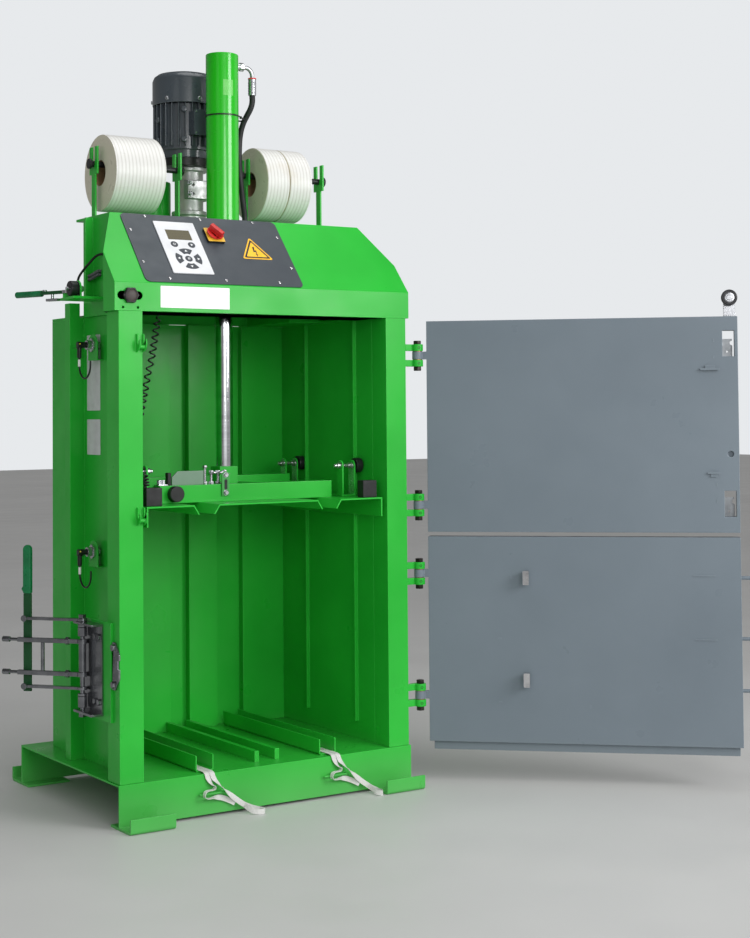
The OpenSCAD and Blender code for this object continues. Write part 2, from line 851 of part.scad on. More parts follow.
module hinge_pins() {
    color(ZINC)
        for (z = concat(upper_hinges, lower_hinges)) {
            bar_z([hinge_x, hinge_y, z - hinge_half - 8], 2 * hinge_half + 8, hinge_pin_d);
            hex_nut([hinge_x, hinge_y, z + hinge_half], 24, 12);
            hex_nut([hinge_x, hinge_y, z - hinge_half - 14], 24, 14);
        }
}

// turns a shut door's pieces to where they stand open
module opened() {
    translate([hinge_x, hinge_y, 0]) rotate(door_open) children();
}

// a door shut: from the hinge axis along -X, its inner face door_face in front of the axis
module door_knuckles(zs) {
    knuckle_h = 2 * (hinge_half - ear_t) - 4;
    for (z = zs) difference() {
        union() {
            bar_z([0, 0, z - knuckle_h / 2], knuckle_h, 34);
            block([-door_first - 10, -door_face - 14, z - knuckle_h / 2], [0, -door_face, z + knuckle_h / 2]);
        }
        bar_z([0, 0, z - knuckle_h], 2 * knuckle_h, hinge_pin_d + 2 * pin_gap);
    }
}

// a door leaf: a closed box of sheet with two raised stiffeners on its outer side
module door_leaf(z0, z1) {
    x0 = -door_first - door_w;
    y0 = -door_face - door_t;
    rib_t = 12;
    difference() {
        block([x0, y0, z0], [-door_first, -door_face, z1]);
        block([x0 + window_w + 24, y0 + door_sheet, z0 + door_sheet],
            [-door_first - door_sheet, -door_face - door_sheet, z1 - door_sheet]);
    }
    for (f = [0.3, 0.68])
        block([x0 + 70, y0 - rib_t, z0 + (z1 - z0) * f - 40],
            [-door_first - 20, y0, z0 + (z1 - z0) * f + 40]);
}

module upper_door() {
    z0 = door_split + door_gap / 2;
    color(GRAPHITE) opened() {
        difference() {
            door_leaf(z0, door_top);
            for (z = window_zs)
                block([-window_x - window_w, -door_face - door_t - 1, z - window_h / 2],
                    [-window_x, -door_face + 1, z + window_h / 2]);
            bar_y([-door_first - door_w + 27, -door_face - 12, 1083], 20, 20);
        }
        door_knuckles(upper_hinges);
    }
}

module lower_door() {
    color(GRAPHITE) opened() {
        door_leaf(door_bottom, door_split - door_gap / 2);
        block([-door_first - door_w + 10, -door_face - 16, door_bottom - 28],
            [-door_first - 14, -door_face - 12, door_bottom]);
        door_knuckles(lower_hinges);
    }
    color(ZINC) opened()
        for (z = [682, 486, 319])
            bar_x([-door_first - door_w - 32, -door_face - 22, z], 32, 12);
}

module door_roller_bracket() {
    color(ZINC) opened() {
        block([-roller_x - 19, -door_face - 44, door_top],
            [-roller_x + 19, -door_face - 40, door_roller_z + 12]);
        block([-roller_x - 19, -door_face - 40, door_top], [-roller_x + 19, -door_face - 20, door_top + 4]);
        bar_y([-roller_x, -door_face - 40, door_roller_z], 26, 10);
        bar_y([-roller_x, -door_face - 14, door_roller_z], 2, 18);
    }
}

module door_roller() {
    color(BLACK) opened() difference() {
        bar_y([-roller_x, -door_face - 38, door_roller_z], 22, door_roller_d);
        bar_y([-roller_x, -door_face - 41, door_roller_z], 30, 10 + 2 * pin_gap);
    }
}

// lower latch on the left side, swung back as it stands open
module latch_backing() {
    block([-post_out - backing_t, post_rear_y - 40, latch_low - 14],
        [-post_out, skirt_y + 236, latch_high + 8]);
    block([-post_out, post_rear_y, latch_low], [-wall_out, post_rear_y + 10, latch_high]);
}

module latch_bracket() {
    x0 = -post_out - backing_t;
    y0 = skirt_y + 100;
    y1 = skirt_y + 234;
    color(ZINC) {
        difference() {
            union() {
                block([x0 - 6, y0, latch_low], [x0, y1, latch_high]);
                for (z = [latch_low, latch_high - ear_th])
                    block([x0 - 40, y0, z], [x0 - 6, y1, z + ear_th]);
            }
            bar_z([latch_x, latch_y, latch_low - 1], latch_high - latch_low + 2, latch_pin_d + 2 * pin_gap);
        }
        for (z = [latch_low + 40, latch_high - 40], y = [y0 + 16, y0 + 46])
            translate([x0 - 6, y, z]) rotate([0, -90, 0]) hex_nut([0, 0, 0], 17, 7);
        keeper_plate();
    }
}

// curved keeper plate bolted on the outer side of the left post
module keeper_plate() {
    mid = 479;
    half = 71;
    translate([-post_out - 6, 0, mid]) difference() {
        rotate([90, 0, 90]) linear_extrude(6)
            polygon([[skirt_y + 44, -half], [front_y + 22, -half], [front_y - 6, -half + 36],
                [front_y - 6, half - 36], [front_y + 22, half], [skirt_y + 44, half]]);
        block([-1, front_y - 40, -7], [7, front_y + 4, 19]);
    }
    for (z = [mid - half + 16, mid + half - 16])
        translate([-post_out - 6, skirt_y + 32, z]) rotate([0, -90, 0]) hex_nut([0, 0, 0], 19, 8);
}

// places what swings on the lower latch's pin: along +X as drawn, out to the rear as it stands
module latch_swung(a) {
    translate([latch_x, latch_y, 0]) rotate(90 + a) children();
}

// the two links are fixed on the hinge pin, which turns in the bracket's ears
module latch_handle() {
    pin_z = latch_low - gap - 14;
    color(ZINC) latch_swung(latch_angle) {
        bar_z([0, 0, pin_z], link_zs[0] - pin_z, latch_pin_d);
        hex_nut([0, 0, pin_z], 22, 14);
        hex_nut([0, 0, link_zs[0] + link_t / 2], 22, 12);
        for (z = link_zs) {
            bar_z([0, 0, z - link_t / 2], link_t, 30);
            block([0, -9, z - link_t / 2], [link_l, 9, z + link_t / 2]);
            bar_z([link_l, 0, z - link_t / 2], link_t, 18);
        }
        block([link_l - 13, -17, link_zs[1] - 18], [link_l + 13, -9, grip_z]);
        for (z = link_zs) {
            bar_y([link_l, -24, z], 7, 20);
            bar_y([link_l, 9, z], 5, 20);
        }
    }
}

module latch_grip() {
    w = 28;
    t = 16;
    color([0.05, 0.42, 0.25]) latch_swung(latch_angle) translate([link_l, -13, grip_z]) {
        block([-w / 2, -t / 2, 0], [w / 2, t / 2, grip_l - w / 2]);
        translate([0, t / 2, grip_l - w / 2]) rotate([90, 0, 0]) intersection() {
            cylinder(h = t, d = w);
            translate([-w / 2, 0, 0]) cube([w, w / 2, t]);
        }
        translate([w / 2, t / 2, 14]) rotate([90, 0, 0]) cylinder(h = t, d = 10);
    }
}

// two hook arms joined by a spacer rod, each with an adjusting nut and a cross head
module latch_hooks() {
    arm_t = 14;
    color(ZINC) latch_swung(latch_angle) {
        for (z = hook_zs) difference() {
            union() {
                bar_z([0, 0, z - arm_t / 2], arm_t, 30);
                block([0, -7, z - arm_t / 2], [hook_l - 44, 7, z + arm_t / 2]);
                bar_x([hook_l - 44, 0, z], 30, 10);
                bar_x([hook_l - 16, 0, z], 24, 17);
                translate([44, 0, z]) rotate([0, 90, 0]) cylinder(h = 12, d = 24, $fn = 6);
            }
            bar_z([0, 0, z - arm_t], 2 * arm_t, latch_pin_d + 2 * pin_gap);
        }
        bar_z([134, 0, hook_zs[1]], hook_zs[0] - hook_zs[1], 12);
        difference() {
            bar_z([0, 0, hook_zs[1] + arm_t / 2], hook_zs[0] - hook_zs[1] - arm_t, 22);
            bar_z([0, 0, hook_zs[1]], hook_zs[0] - hook_zs[1], latch_pin_d + 2 * pin_gap);
        }
    }
}

// upper latch: a lever on a small bracket beside the hood
top_z = head_z + 80;
top_y = skirt_y + 260;
top_x = -post_out - 52;
pivot_x = top_x + 18;
pivot_y = top_y + 50;
module top_latch_bracket() {
    translate([0, 0, top_z - 34]) linear_extrude(8)
        polygon([[-head_w / 2, top_y - 60], [top_x - 6, top_y - 60], [top_x - 6, top_y - 10],
            [top_x + 6, pivot_y + 25], [-head_w / 2, pivot_y + 25]]);
    difference() {
        union() {
            block([top_x + 30, top_y - 26, top_z - 26], [top_x + 36, top_y + 26, top_z]);
            bar_x([top_x + 30, top_y, top_z], 6, 52);
        }
        bar_x([top_x + 20, top_y, top_z], 30, 12 + 2 * pin_gap);
    }
    difference() {
        bar_z([pivot_x, pivot_y, top_z - 26], 14, 24);
        bar_z([pivot_x, pivot_y, top_z - 26], 40, 10 + 2 * pin_gap);
    }
}

// a switch holder: an upright plate with a round top on a folded foot
module sensor_bracket(z) {
    difference() {
        union() {
            block([sensor_plate_x, sensor_y - 35, z - 45], [sensor_plate_x + 3, sensor_y + 35, z]);
            bar_x([sensor_plate_x, sensor_y, z], 3, 70);
            block([sensor_plate_x, sensor_y - 35, z - 48], [-wall_out, sensor_y + 35, z - 45]);
        }
        bar_x([sensor_plate_x - 1, sensor_y, z], 6, 30 + 2 * pin_gap);
    }
}

// everything welded to the outer left side: latch backing, upper latch shelf and switch holders
module side_brackets() {
    color(GREEN) {
        latch_backing();
        top_latch_bracket();
        for (z = sensor_zs) sensor_bracket(z);
    }
    color(ZINC) {
        bar_x([top_x - 6, top_y, top_z], 48, 12);
        bar_x([top_x + 42, top_y, top_z], 8, 20);
    }
}

module top_latch_wheel() {
    color(BLACK) difference() {
        bar_x([top_x + 4, top_y, top_z], 24, 48);
        bar_x([top_x, top_y, top_z], 40, 12 + 2 * pin_gap);
    }
}

module top_latch_arm() {
    reach = 220;
    z = top_z - 12 + gap;
    translate([pivot_x, pivot_y, 0]) rotate(90 + 22) {
        color(ZINC) {
            bar_z([0, 0, z - 14], 14, 10);
            bar_z([0, 0, z], 10, 30);
            block([0, -8, z], [reach - 110, 8, z + 10]);
            bar_z([62, 0, z - 22], 32, 9);
            block([34, -8, z - 22], [84, 8, z - 14]);
            bar_z([96, 0, z + 10], 5, 14);
        }
        color([0.05, 0.42, 0.25]) bar_x([reach - 112, 0, z + 4], 112, 20);
    }
}

// door switches: threaded barrels held by two nuts in an upright bracket
sensor_y = skirt_y + 310;
sensor_zs = [1446, 798];
sensor_plate_x = -wall_out - 22;
module door_sensors() {
    for (z = sensor_zs) translate([sensor_plate_x, sensor_y, z]) {
        color(ZINC) {
            bar_x([-22, 0, 0], 42, 30);
            for (x = [-7, 3])
                translate([x, 0, 0]) rotate([0, 90, 0]) cylinder(h = 7, d = 46, $fn = 6);
        }
        color(BLACK) {
            bar_x([-38, 0, 0], 16, 18);
            bar_x([-52, 0, 0], 14, 20);
            bar_z([-45, 0, -42], 42, 14);
        }
    }
}

// cables: a bow from each switch to the gap behind the post, and two leads out of the head's side,
// given from the head's side, the switches' line and the door opening's top
head_cable = [[-gap, -62, 190], [-6, -62, 190], [-17, -47, 184], [-29, -29, 166], [-41, -9, 144],
    [-49, 5, 126], [-52, 11, 112], [-52, 11, 92], [-52, 9, 64]];
head_conduit = [[-gap, -47, 138], [-8, -47, 138], [-13, -38, 134], [-15, -24, 130], [-15, -4, 127],
    [-15, flange_y - sensor_y - gap, 126]];
module switch_cables() {
    bow = 42;
    bow_route = concat([[0, 0, 0]], [for (a = [0:22.5:180]) [0, bow * (cos(a) - 1), -22 - bow * sin(a)]],
        [[0, -2 * bow, -10]]);
    color(BLACK) {
        for (z = sensor_zs) translate([sensor_plate_x - 45, sensor_y, z - 42])
            swept(bow_route, 6, 6, 8, [1, 0, 0]);
        translate([-head_w / 2, sensor_y, head_z]) {
            swept(head_cable, 8, 8, 8, [0, 0, 1]);
            swept(head_conduit, 14, 14, 8, [0, 0, 1]);
        }
    }
}

// press plate and its beams
module press_slot_side(x, s) {
    lean = 19;
    fold = 30;
    translate([x, 0, press_z]) rotate([90, 0, 180]) translate([0, 0, press_front])
        linear_extrude(press_rear - press_front)
            polygon([[s * press_t, 0], [0, 0], [-s * lean, -fold], [s * (press_t - lean), -fold]]);
}

module press_plate() {
    color(GREEN) {
        difference() {
            block([-press_hw, press_front, press_z - press_t], [press_hw, press_rear, press_z]);
            for (x = [-strap_x, strap_x])
                block([x - slot_w / 2, press_front - 1, press_z - press_t - 1],
                    [x + slot_w / 2, press_rear + 1, press_z + 1]);
        }
        both_sides()
            block([press_hw - press_t, press_front, press_z - skirt_h], [press_hw, press_rear, press_z]);
        for (x = [-strap_x, strap_x]) {
            press_slot_side(x - slot_w / 2, 1);
            press_slot_side(x + slot_w / 2, -1);
        }
    }
}

module press_beams() {
    top = press_z + beam_h;
    color(GREEN) {
        hollow_beam([-beam_hw, beam_y, press_z], [beam_hw, beam_y + beam_w, top], 4);
        hollow_beam([-rear_beam_hw, beam_y + 330, press_z],
            [rear_beam_hw, beam_y + 330 + beam_w, press_z + rear_beam_h], 4);
        for (x = [-130, 90])
            block([x, beam_y + beam_w, press_z], [x + 40, beam_y + 330, top - 6]);
        block([-mount_w / 2, cyl_y - mount_w / 2, press_z],
            [mount_w / 2, cyl_y + mount_w / 2, press_z + mount_h]);
        block([-90, cyl_y - 20, press_z], [90, cyl_y + 20, top - 6]);
        both_sides()
            for (y = roller_ys) difference() {
                union() {
                    for (x = [roller_x0 - 56, roller_x0 - 10]) {
                        block([x, y - 18, press_z], [x + 6, y + 18, roller_z]);
                        bar_x([x, y, roller_z], 6, 36);
                    }
                    block([roller_x0 - 56, y - 18, press_z], [roller_x0 - 10, y + 18, press_z + 6]);
                }
                bar_x([roller_x0 - 60, y, roller_z], 60, 12 + 2 * pin_gap);
            }
    }
    color(ZINC) both_sides()
        for (y = roller_ys) {
            bar_x([roller_x0 - 78, y, roller_z], roller_w + 80, 12);
            for (x = [roller_x0 - 68, roller_x0 - 22])
                bar_x([x, y, roller_z], 12, 20);
        }
}

// locking gear on the press plate: a tongue down the beam's front, an upright lever plate, a cross
// bar on three studs, a tall stud and a foot plate with two nuts
module stud(x, h) {
    bar_z([x, 0, 0], h, 10);
    hex_nut([x, 0, 0], 17, 9);
    hex_nut([x, 0, h - 8], 15, 8);
}
module press_fittings() {
    tongue_w = 27;
    tongue_t = 6;
    tongue_h = 82;
    lever = [-265, -154];
    lever_h = 44;
    foot = [-beam_hw, -284];
    color(ZINC) {
        block([tongue_x - tongue_w / 2, beam_y - tongue_t, press_z + 18],
            [tongue_x + tongue_w / 2, beam_y, press_z + tongue_h]);
        bar_y([tongue_x, beam_y - tongue_t, press_z + tongue_h], tongue_t, tongue_w);
        translate([0, 0, press_z + beam_h]) {
            block([tongue_x - 12, beam_y, 0], [tongue_x + 12, beam_y + 12, 5]);
            translate([0, beam_y + 22, 0]) rotate([90, 0, 0]) linear_extrude(6)
                polygon([[lever[0], 0], [lever[1], 0], [lever[1], lever_h], [lever[0] + 20, lever_h],
                    [lever[0], lever_h - 18]]);
            block([foot[0], beam_y + 8, 0], [foot[1], beam_y + 42, 4]);
            translate([0, beam_y + 26, 0]) {
                for (x = [foot[0] + 9, foot[1] - 8]) hex_nut([x, 0, 4], 13, 14);
                stud(-145, 60);
                for (x = [-122, -98, -74]) stud(x, 44);
                bar_x([-127, 0, 36], 58, 9);
            }
        }
    }
}

// black buffers: a disc and a small block on the front beam, and a pad at each front corner
module press_buffers() {
    color(BLACK) {
        bar_y([-beam_hw + 49, beam_y - 24, press_z + 29], 24, 50);
        block([-281, beam_y + 14, press_z + beam_h], [-268, beam_y + 34, press_z + beam_h + 40]);
        both_sides() block([press_hw - 62, press_front + 20, press_z],
            [press_hw - 8, press_front + 56, press_z + 56]);
    }
}

module guide_roller(side, y) {
    color(BLACK) mirror([side < 0 ? 1 : 0, 0, 0]) difference() {
        bar_x([roller_x0, y, roller_z], roller_w, roller_d);
        bar_x([roller_x0 - 1, y, roller_z], roller_w + 2, 12 + 2 * pin_gap);
    }
}
module guide_roller_front_left() {
    guide_roller(-1, roller_ys[0]);
}
module guide_roller_rear_left() {
    guide_roller(-1, roller_ys[1]);
}
module guide_roller_front_right() {
    guide_roller(1, roller_ys[0]);
}
module guide_roller_rear_right() {
    guide_roller(1, roller_ys[1]);
}

// coiled lead between the head and the press plate, as its outer form
cord_low = press_z + 56;
cord_high = head_z - 4;
cord_x = -press_hw + 15;
cord_y = press_front + 38;
cord_d = 23;
cord_route = [[70, 52, cord_high], [62, 50, cord_high - 40], [50, 41, cord_high - 84],
    [40, 36, cord_high - 130], [24, 31, cord_high - 182], [12, 26, cord_high - 230],
    [3, 24, cord_high - 268], [-7, 22, cord_high - 308], [-15, 24, cord_high - 350],
    [-17, 28, cord_high - 400], [-13, 22, cord_high - 450], [0, 8, cord_low + 34],
    [0, 0, cord_low + 16], [0, 0, cord_low + gap]];
module curly_cord() {
    color(BLACK) translate([cord_x, cord_y, 0]) swept(cord_route, cord_d, cord_d, 12, [0, 1, 0]);
}

// loose ends of the two straps: two tapes run out of each floor channel over the base's edge. One is
// looped round the hook on the skirt, and both end in a bow. Each point has X from the strap's line,
// Y, Z and the turn of the tape's width: 0 along X, 90 along Y, 180 upright.
tape_w = 16;
tape_t = 1.6;
tape_z = base_h + channel_t + gap + tape_t / 2;
function tape_mix(a, b, c, d, t) = 0.5 * (2 * b + (c - a) * t + (2 * a - 5 * b + 4 * c - d) * t * t
    + (3 * b - a - 3 * c + d) * t * t * t);
function tape_line(p) = [for (i = [0:len(p) - 2], t = [0:0.25:0.99])
    tape_mix(p[max(i - 1, 0)], p[i], p[i + 1], p[min(i + 2, len(p) - 1)], t), p[len(p) - 1]];
function width_way(a) = a <= 90 ? [cos(a), sin(a), 0] : [0, cos(a - 90), sin(a - 90)];
function straight_run(x, z) = [for (y = [rear_y - 10, 60, -160, -320, skirt_y + 24]) [x, y, z, 0]];
function looped(x) = concat(straight_run(x, tape_z), [[x, skirt_y + 8, tape_z - 0.3, 0],
    [x + 0.5, skirt_y - 2.2, base_h + 0.4, 0], [x + 3, skirt_y - 3.6, base_h - 10, 5],
    [x + 9, skirt_y - 5.5, base_h - 22, 20], [x + 17, skirt_y - 8, base_h - 33, 55],
    [x + 23, skirt_y - 11.5, hook_z + 21, 85], [x + 20, skirt_y - 13, hook_z + 13.5, 90],
    [x + 10, skirt_y - 15, hook_z + 12, 90], [x - 5, skirt_y - 18, hook_z + 12, 90],
    [x - 16, skirt_y - 24, hook_z + 9, 90], [x - 21, skirt_y - 26, hook_z, 90],
    [x - 15, skirt_y - 24, hook_z - 8, 90], [x - 3, skirt_y - 19, hook_z - 11.5, 90],
    [x + 12, skirt_y - 15, hook_z - 12.5, 95], [x + 26, skirt_y - 12, hook_z - 13.5, 125],
    [x + 40, skirt_y - 9, hook_z - 15, 165], [x + 56, skirt_y - 8, hook_z - 20, 180],
    [x + 74, skirt_y - 9, hook_z - 28, 180], [x + 92, skirt_y - 13, hook_z - 38, 180]]);
function bowed(x, l, r) = concat(straight_run(x, tape_z), [[x, skirt_y + 8, tape_z - 0.3, 0],
    [x + 0.5, skirt_y - 2.2, base_h + 0.4, 0], [x + 4, skirt_y - 3.8, base_h - 11, 5],
    [x + 11, skirt_y - 6, base_h - 22, 20], [x + 22, skirt_y - 15, base_h - 36, 60],
    [x + 34, skirt_y - 20, base_h - 50, 110], [x + 48, skirt_y - 21, base_h - 63, 150],
    [x + 64, skirt_y - 19, base_h - 76, 175], [x + 82, skirt_y - 18, base_h - 90, 180],
    [x + 100, skirt_y - 22, base_h - 103, 180], [x + 118 + l / 4, skirt_y - 28, base_h - 112, 180],
    [x + 136 + l / 2, skirt_y - 36, base_h - 118.5, 180], [x + 150 + l, skirt_y - 46, base_h - 121.6, 180],
    [x + 154 + l, skirt_y - 57, base_h - 122.2, 180], [x + 146 + l, skirt_y - 66 - r, base_h - 122.2, 180],
    [x + 130 + l / 2, skirt_y - 67 - r, base_h - 122, 180],
    [x + 114 + l / 3, skirt_y - 59 - r / 2, base_h - 119, 180],
    [x + 102, skirt_y - 47, base_h - 110, 180], [x + 95, skirt_y - 37, base_h - 102, 180]]);
function flat_ring(p, t, ref) = let (u = unit(ref - (ref * t) * t), v = cross(t, u))
    [for (c = [[1, 1], [-1, 1], [-1, -1], [1, -1]]) p + u * c[0] * tape_w / 2 + v * c[1] * tape_t / 2];
module tape(p) {
    line = tape_line(p);
    m = len(line);
    centre = [for (q = line) [q[0], q[1], q[2]]];
    pts = [for (i = [0:m - 1]) each flat_ring(centre[i], tangent(centre, i), width_way(line[i][3]))];
    sides = [for (i = [0:m - 2], k = [0:3])
        [i * 4 + k, i * 4 + (k + 1) % 4, (i + 1) * 4 + (k + 1) % 4, (i + 1) * 4 + k]];
    ends = [[3, 2, 1, 0], [for (k = [0:3]) (m - 1) * 4 + k]];
    polyhedron(points = pts, faces = concat(ends, sides), convexity = 8);
}
module strap_tails() {
    color([0.9, 0.9, 0.9]) {
        tape(looped(-strap_x - 13));
        tape(bowed(-strap_x + 4.5, 0, 0));
        tape(looped(strap_x - 2));
        tape(bowed(strap_x + 15.5, -22, 8));
    }
}

base_frame();
floor_channels();
front_posts();
side_walls();
rear_wall();
head_frame();
hood();
control_panel();
panel_screws();
keypad_housing();
keypad_display();
key_upper_left();
key_upper_right();
key_centre();
key_right();
key_top();
key_left();
key_bottom();
main_switch_base();
main_switch_handle();
label_plates();
slot_bolt();
cylinder_barrel();
piston_rod();
hose_fitting();
hydraulic_hose();
motor_body();
motor_fan();
pump_housing();
oil_tank();
roll_stands();
roll_rods();
strap_roll_left();
strap_roll_middle();
strap_roll_right();
hinge_brackets();
hinge_pins();
upper_door();
lower_door();
door_roller_bracket();
door_roller();
side_brackets();
latch_bracket();
latch_handle();
latch_grip();
latch_hooks();
top_latch_arm();
top_latch_wheel();
door_sensors();
switch_cables();
press_plate();
press_beams();
press_fittings();
press_buffers();
guide_roller_front_left();
guide_roller_rear_left();
guide_roller_front_right();
guide_roller_rear_right();
curly_cord();
strap_tails();
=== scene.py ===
import bpy
import math
from mathutils import Matrix, Vector


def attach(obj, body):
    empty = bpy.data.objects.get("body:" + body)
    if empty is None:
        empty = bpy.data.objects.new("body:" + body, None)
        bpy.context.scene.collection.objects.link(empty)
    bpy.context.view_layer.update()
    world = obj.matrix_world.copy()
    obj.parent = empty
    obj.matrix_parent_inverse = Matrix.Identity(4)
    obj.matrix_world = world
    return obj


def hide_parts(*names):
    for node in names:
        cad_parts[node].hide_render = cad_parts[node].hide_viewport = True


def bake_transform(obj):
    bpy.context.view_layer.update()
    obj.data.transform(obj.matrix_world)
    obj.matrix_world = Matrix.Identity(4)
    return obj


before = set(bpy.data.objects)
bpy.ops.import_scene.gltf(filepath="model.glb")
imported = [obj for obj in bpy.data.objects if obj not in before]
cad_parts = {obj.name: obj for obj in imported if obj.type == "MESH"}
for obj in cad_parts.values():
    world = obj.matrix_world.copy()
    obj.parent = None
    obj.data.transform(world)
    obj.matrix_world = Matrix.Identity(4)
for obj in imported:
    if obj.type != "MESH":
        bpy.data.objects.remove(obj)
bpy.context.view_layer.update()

# The camera stands to the left of the machine's front at chest height, about five metres away.
# Its lens and shift come from the straight edges of the base, the posts and the doors.
camera_place = Vector((-2.6643, -4.9804, 1.2326))
heading, tilt, bank = 0.5869, 0.0341, -0.0082
ahead = Vector((math.sin(heading) * math.cos(tilt), math.cos(heading) * math.cos(tilt), math.sin(tilt)))
level = Vector((math.cos(heading), -math.sin(heading), 0.0))
upright = level.cross(ahead)
across = level * math.cos(bank) + upright * math.sin(bank)
upward = upright * math.cos(bank) - level * math.sin(bank)
camera_turn = Matrix((across, upward, -ahead)).transposed()
bpy.ops.object.camera_add(location=camera_place, rotation=camera_turn.to_euler())
camera = bpy.context.object
camera.data.lens = 64.7
camera.data.shift_y = -0.1236
camera.data.clip_end = 60.0
bpy.context.scene.camera = camera
bpy.context.scene.view_settings.view_transform = "Standard"


# The loose strap ends are woven polyester tape, 16 mm wide, two in each outer floor channel. They
# drop over the base's front edge: one is looped round a hook, the other ends in a bow on the floor.
def srgb(red, green, blue):
    """A paint colour written as screen values, as the shader wants it."""
    return tuple((c / 255 / 12.92) if c < 10.3 else ((c / 255 + 0.055) / 1.055) ** 2.4
                 for c in (red, green, blue)) + (1.0,)


def clear_selection():
    bpy.ops.object.select_all(action="DESELECT")


def new_finish(name, roughness, metallic=0.0):
    """A new material and its shader, with the values that are the same all over."""
    finish = bpy.data.materials.new(name)
    finish.use_nodes = True
    shader = finish.node_tree.nodes["Principled BSDF"]
    shader.inputs["Roughness"].default_value = roughness
    shader.inputs["Metallic"].default_value = metallic
    return finish, shader


def add_node(finish, kind, **values):
    """A node of that kind, with its sockets and settings filled in."""
    node = finish.node_tree.nodes.new("ShaderNode" + kind)
    for key, value in values.items():
        if hasattr(node, key):
            setattr(node, key, value)
        else:
            node.inputs[key.replace("_", " ")].default_value = value
    return node


def at(x, y, z):
    """The matrix that moves a piece to a place."""
    return Matrix.Translation((x, y, z))


def tipped(degrees, axis):
    return Matrix.Rotation(math.radians(degrees), 4, axis)


def link(finish, source, target):
    finish.node_tree.links.new(source, target)


def grain(finish, scale, detail=3.0, stretch=(1.0, 1.0, 1.0)):
    """Cloudy grain on the piece's own coordinates, from 0 to 1."""
    place = add_node(finish, "TexCoord")
    mapping = add_node(finish, "Mapping", Scale=stretch)
    noise = add_node(finish, "TexNoise", Scale=scale, Detail=detail)
    link(finish, place.outputs["Object"], mapping.inputs["Vector"])
    link(finish, mapping.outputs["Vector"], noise.inputs["Vector"])
    return noise.outputs["Fac"]


def shade(finish, factor, stops):
    """Turns a 0 to 1 value into colours or greys: stops are (place, colour)."""
    ramp = add_node(finish, "ValToRGB")
    for element, (place, colour) in zip(ramp.color_ramp.elements, (stops[0], stops[-1])):
        element.position, element.color = place, colour
    for place, colour in stops[1:-1]:
        ramp.color_ramp.elements.new(place).color = colour
    link(finish, factor, ramp.inputs["Fac"])
    return ramp.outputs["Color"]


def grey(value):
    return (value, value, value, 1.0)


def relief(finish, shader, height, depth, strength=1.0):
    """Small relief of the surface, that many metres deep."""
    bump = add_node(finish, "Bump", Strength=strength, Distance=depth)
    link(finish, height, bump.inputs["Height"])
    link(finish, bump.outputs["Normal"], shader.inputs["Normal"])


def clouded(finish, shader, dark, light, scale, detail=3.0, stretch=(1.0, 1.0, 1.0), low=0.3, high=0.7):
    """A base colour that drifts between two screen colours."""
    tone = shade(finish, grain(finish, scale, detail, stretch), ((low, srgb(*dark)), (high, srgb(*light))))
    link(finish, tone, shader.inputs["Base Color"])


def rough_by(finish, shader, factor, low, high):
    link(finish, shade(finish, factor, ((0.3, grey(low)), (0.7, grey(high)))), shader.inputs["Roughness"])


def grained(name, dark, light, roughness, metallic=0.0, clouds=(34.0, 4.0), gloss=None, skin=None,
            low=0.3, high=0.7):
    """A finish whose colour, gloss and skin each follow a grain of their own. Each grain is given by
    its scale and detail; the gloss adds its least and most, the skin its depth and strength."""
    finish, shader = new_finish(name, roughness, metallic)
    clouded(finish, shader, dark, light, *clouds, low=low, high=high)
    if gloss:
        rough_by(finish, shader, grain(finish, *gloss[:2]), *gloss[2:])
    if skin:
        relief(finish, shader, grain(finish, *skin[:2]), *skin[2:])
    return finish


def mixed(finish, factor, first, second):
    """Mixes two colours, each a value or another node's output, by a factor."""
    mix = add_node(finish, "Mix", data_type="RGBA")
    for socket, value in zip((0, 6, 7), (factor, first, second)):
        if isinstance(value, bpy.types.NodeSocket):
            link(finish, value, mix.inputs[socket])
        else:
            mix.inputs[socket].default_value = value
    return mix.outputs[2]


def laid_line(name, points, radius, half_width=0.0):
    """A smooth curve through the points, round or as a flat tape, made into a mesh."""
    clear_selection()
    line = bpy.data.curves.new(name, "CURVE")
    line.dimensions = "3D"
    line.twist_mode = "MINIMUM"
    line.resolution_u = 4
    line.bevel_depth = radius
    line.bevel_resolution = 2
    line.extrude = half_width
    line.use_fill_caps = True
    spline = line.splines.new("BEZIER")
    spline.bezier_points.add(len(points) - 1)
    for knot, point in zip(spline.bezier_points, points):
        knot.co = point
        knot.handle_left_type = knot.handle_right_type = "AUTO"
    laid = bpy.data.objects.new(name, line)
    bpy.context.collection.objects.link(laid)
    bpy.context.view_layer.objects.active = laid
    laid.select_set(True)
    bpy.ops.object.convert(target="MESH")
    laid = bpy.context.object
    bpy.ops.object.shade_smooth()
    return laid


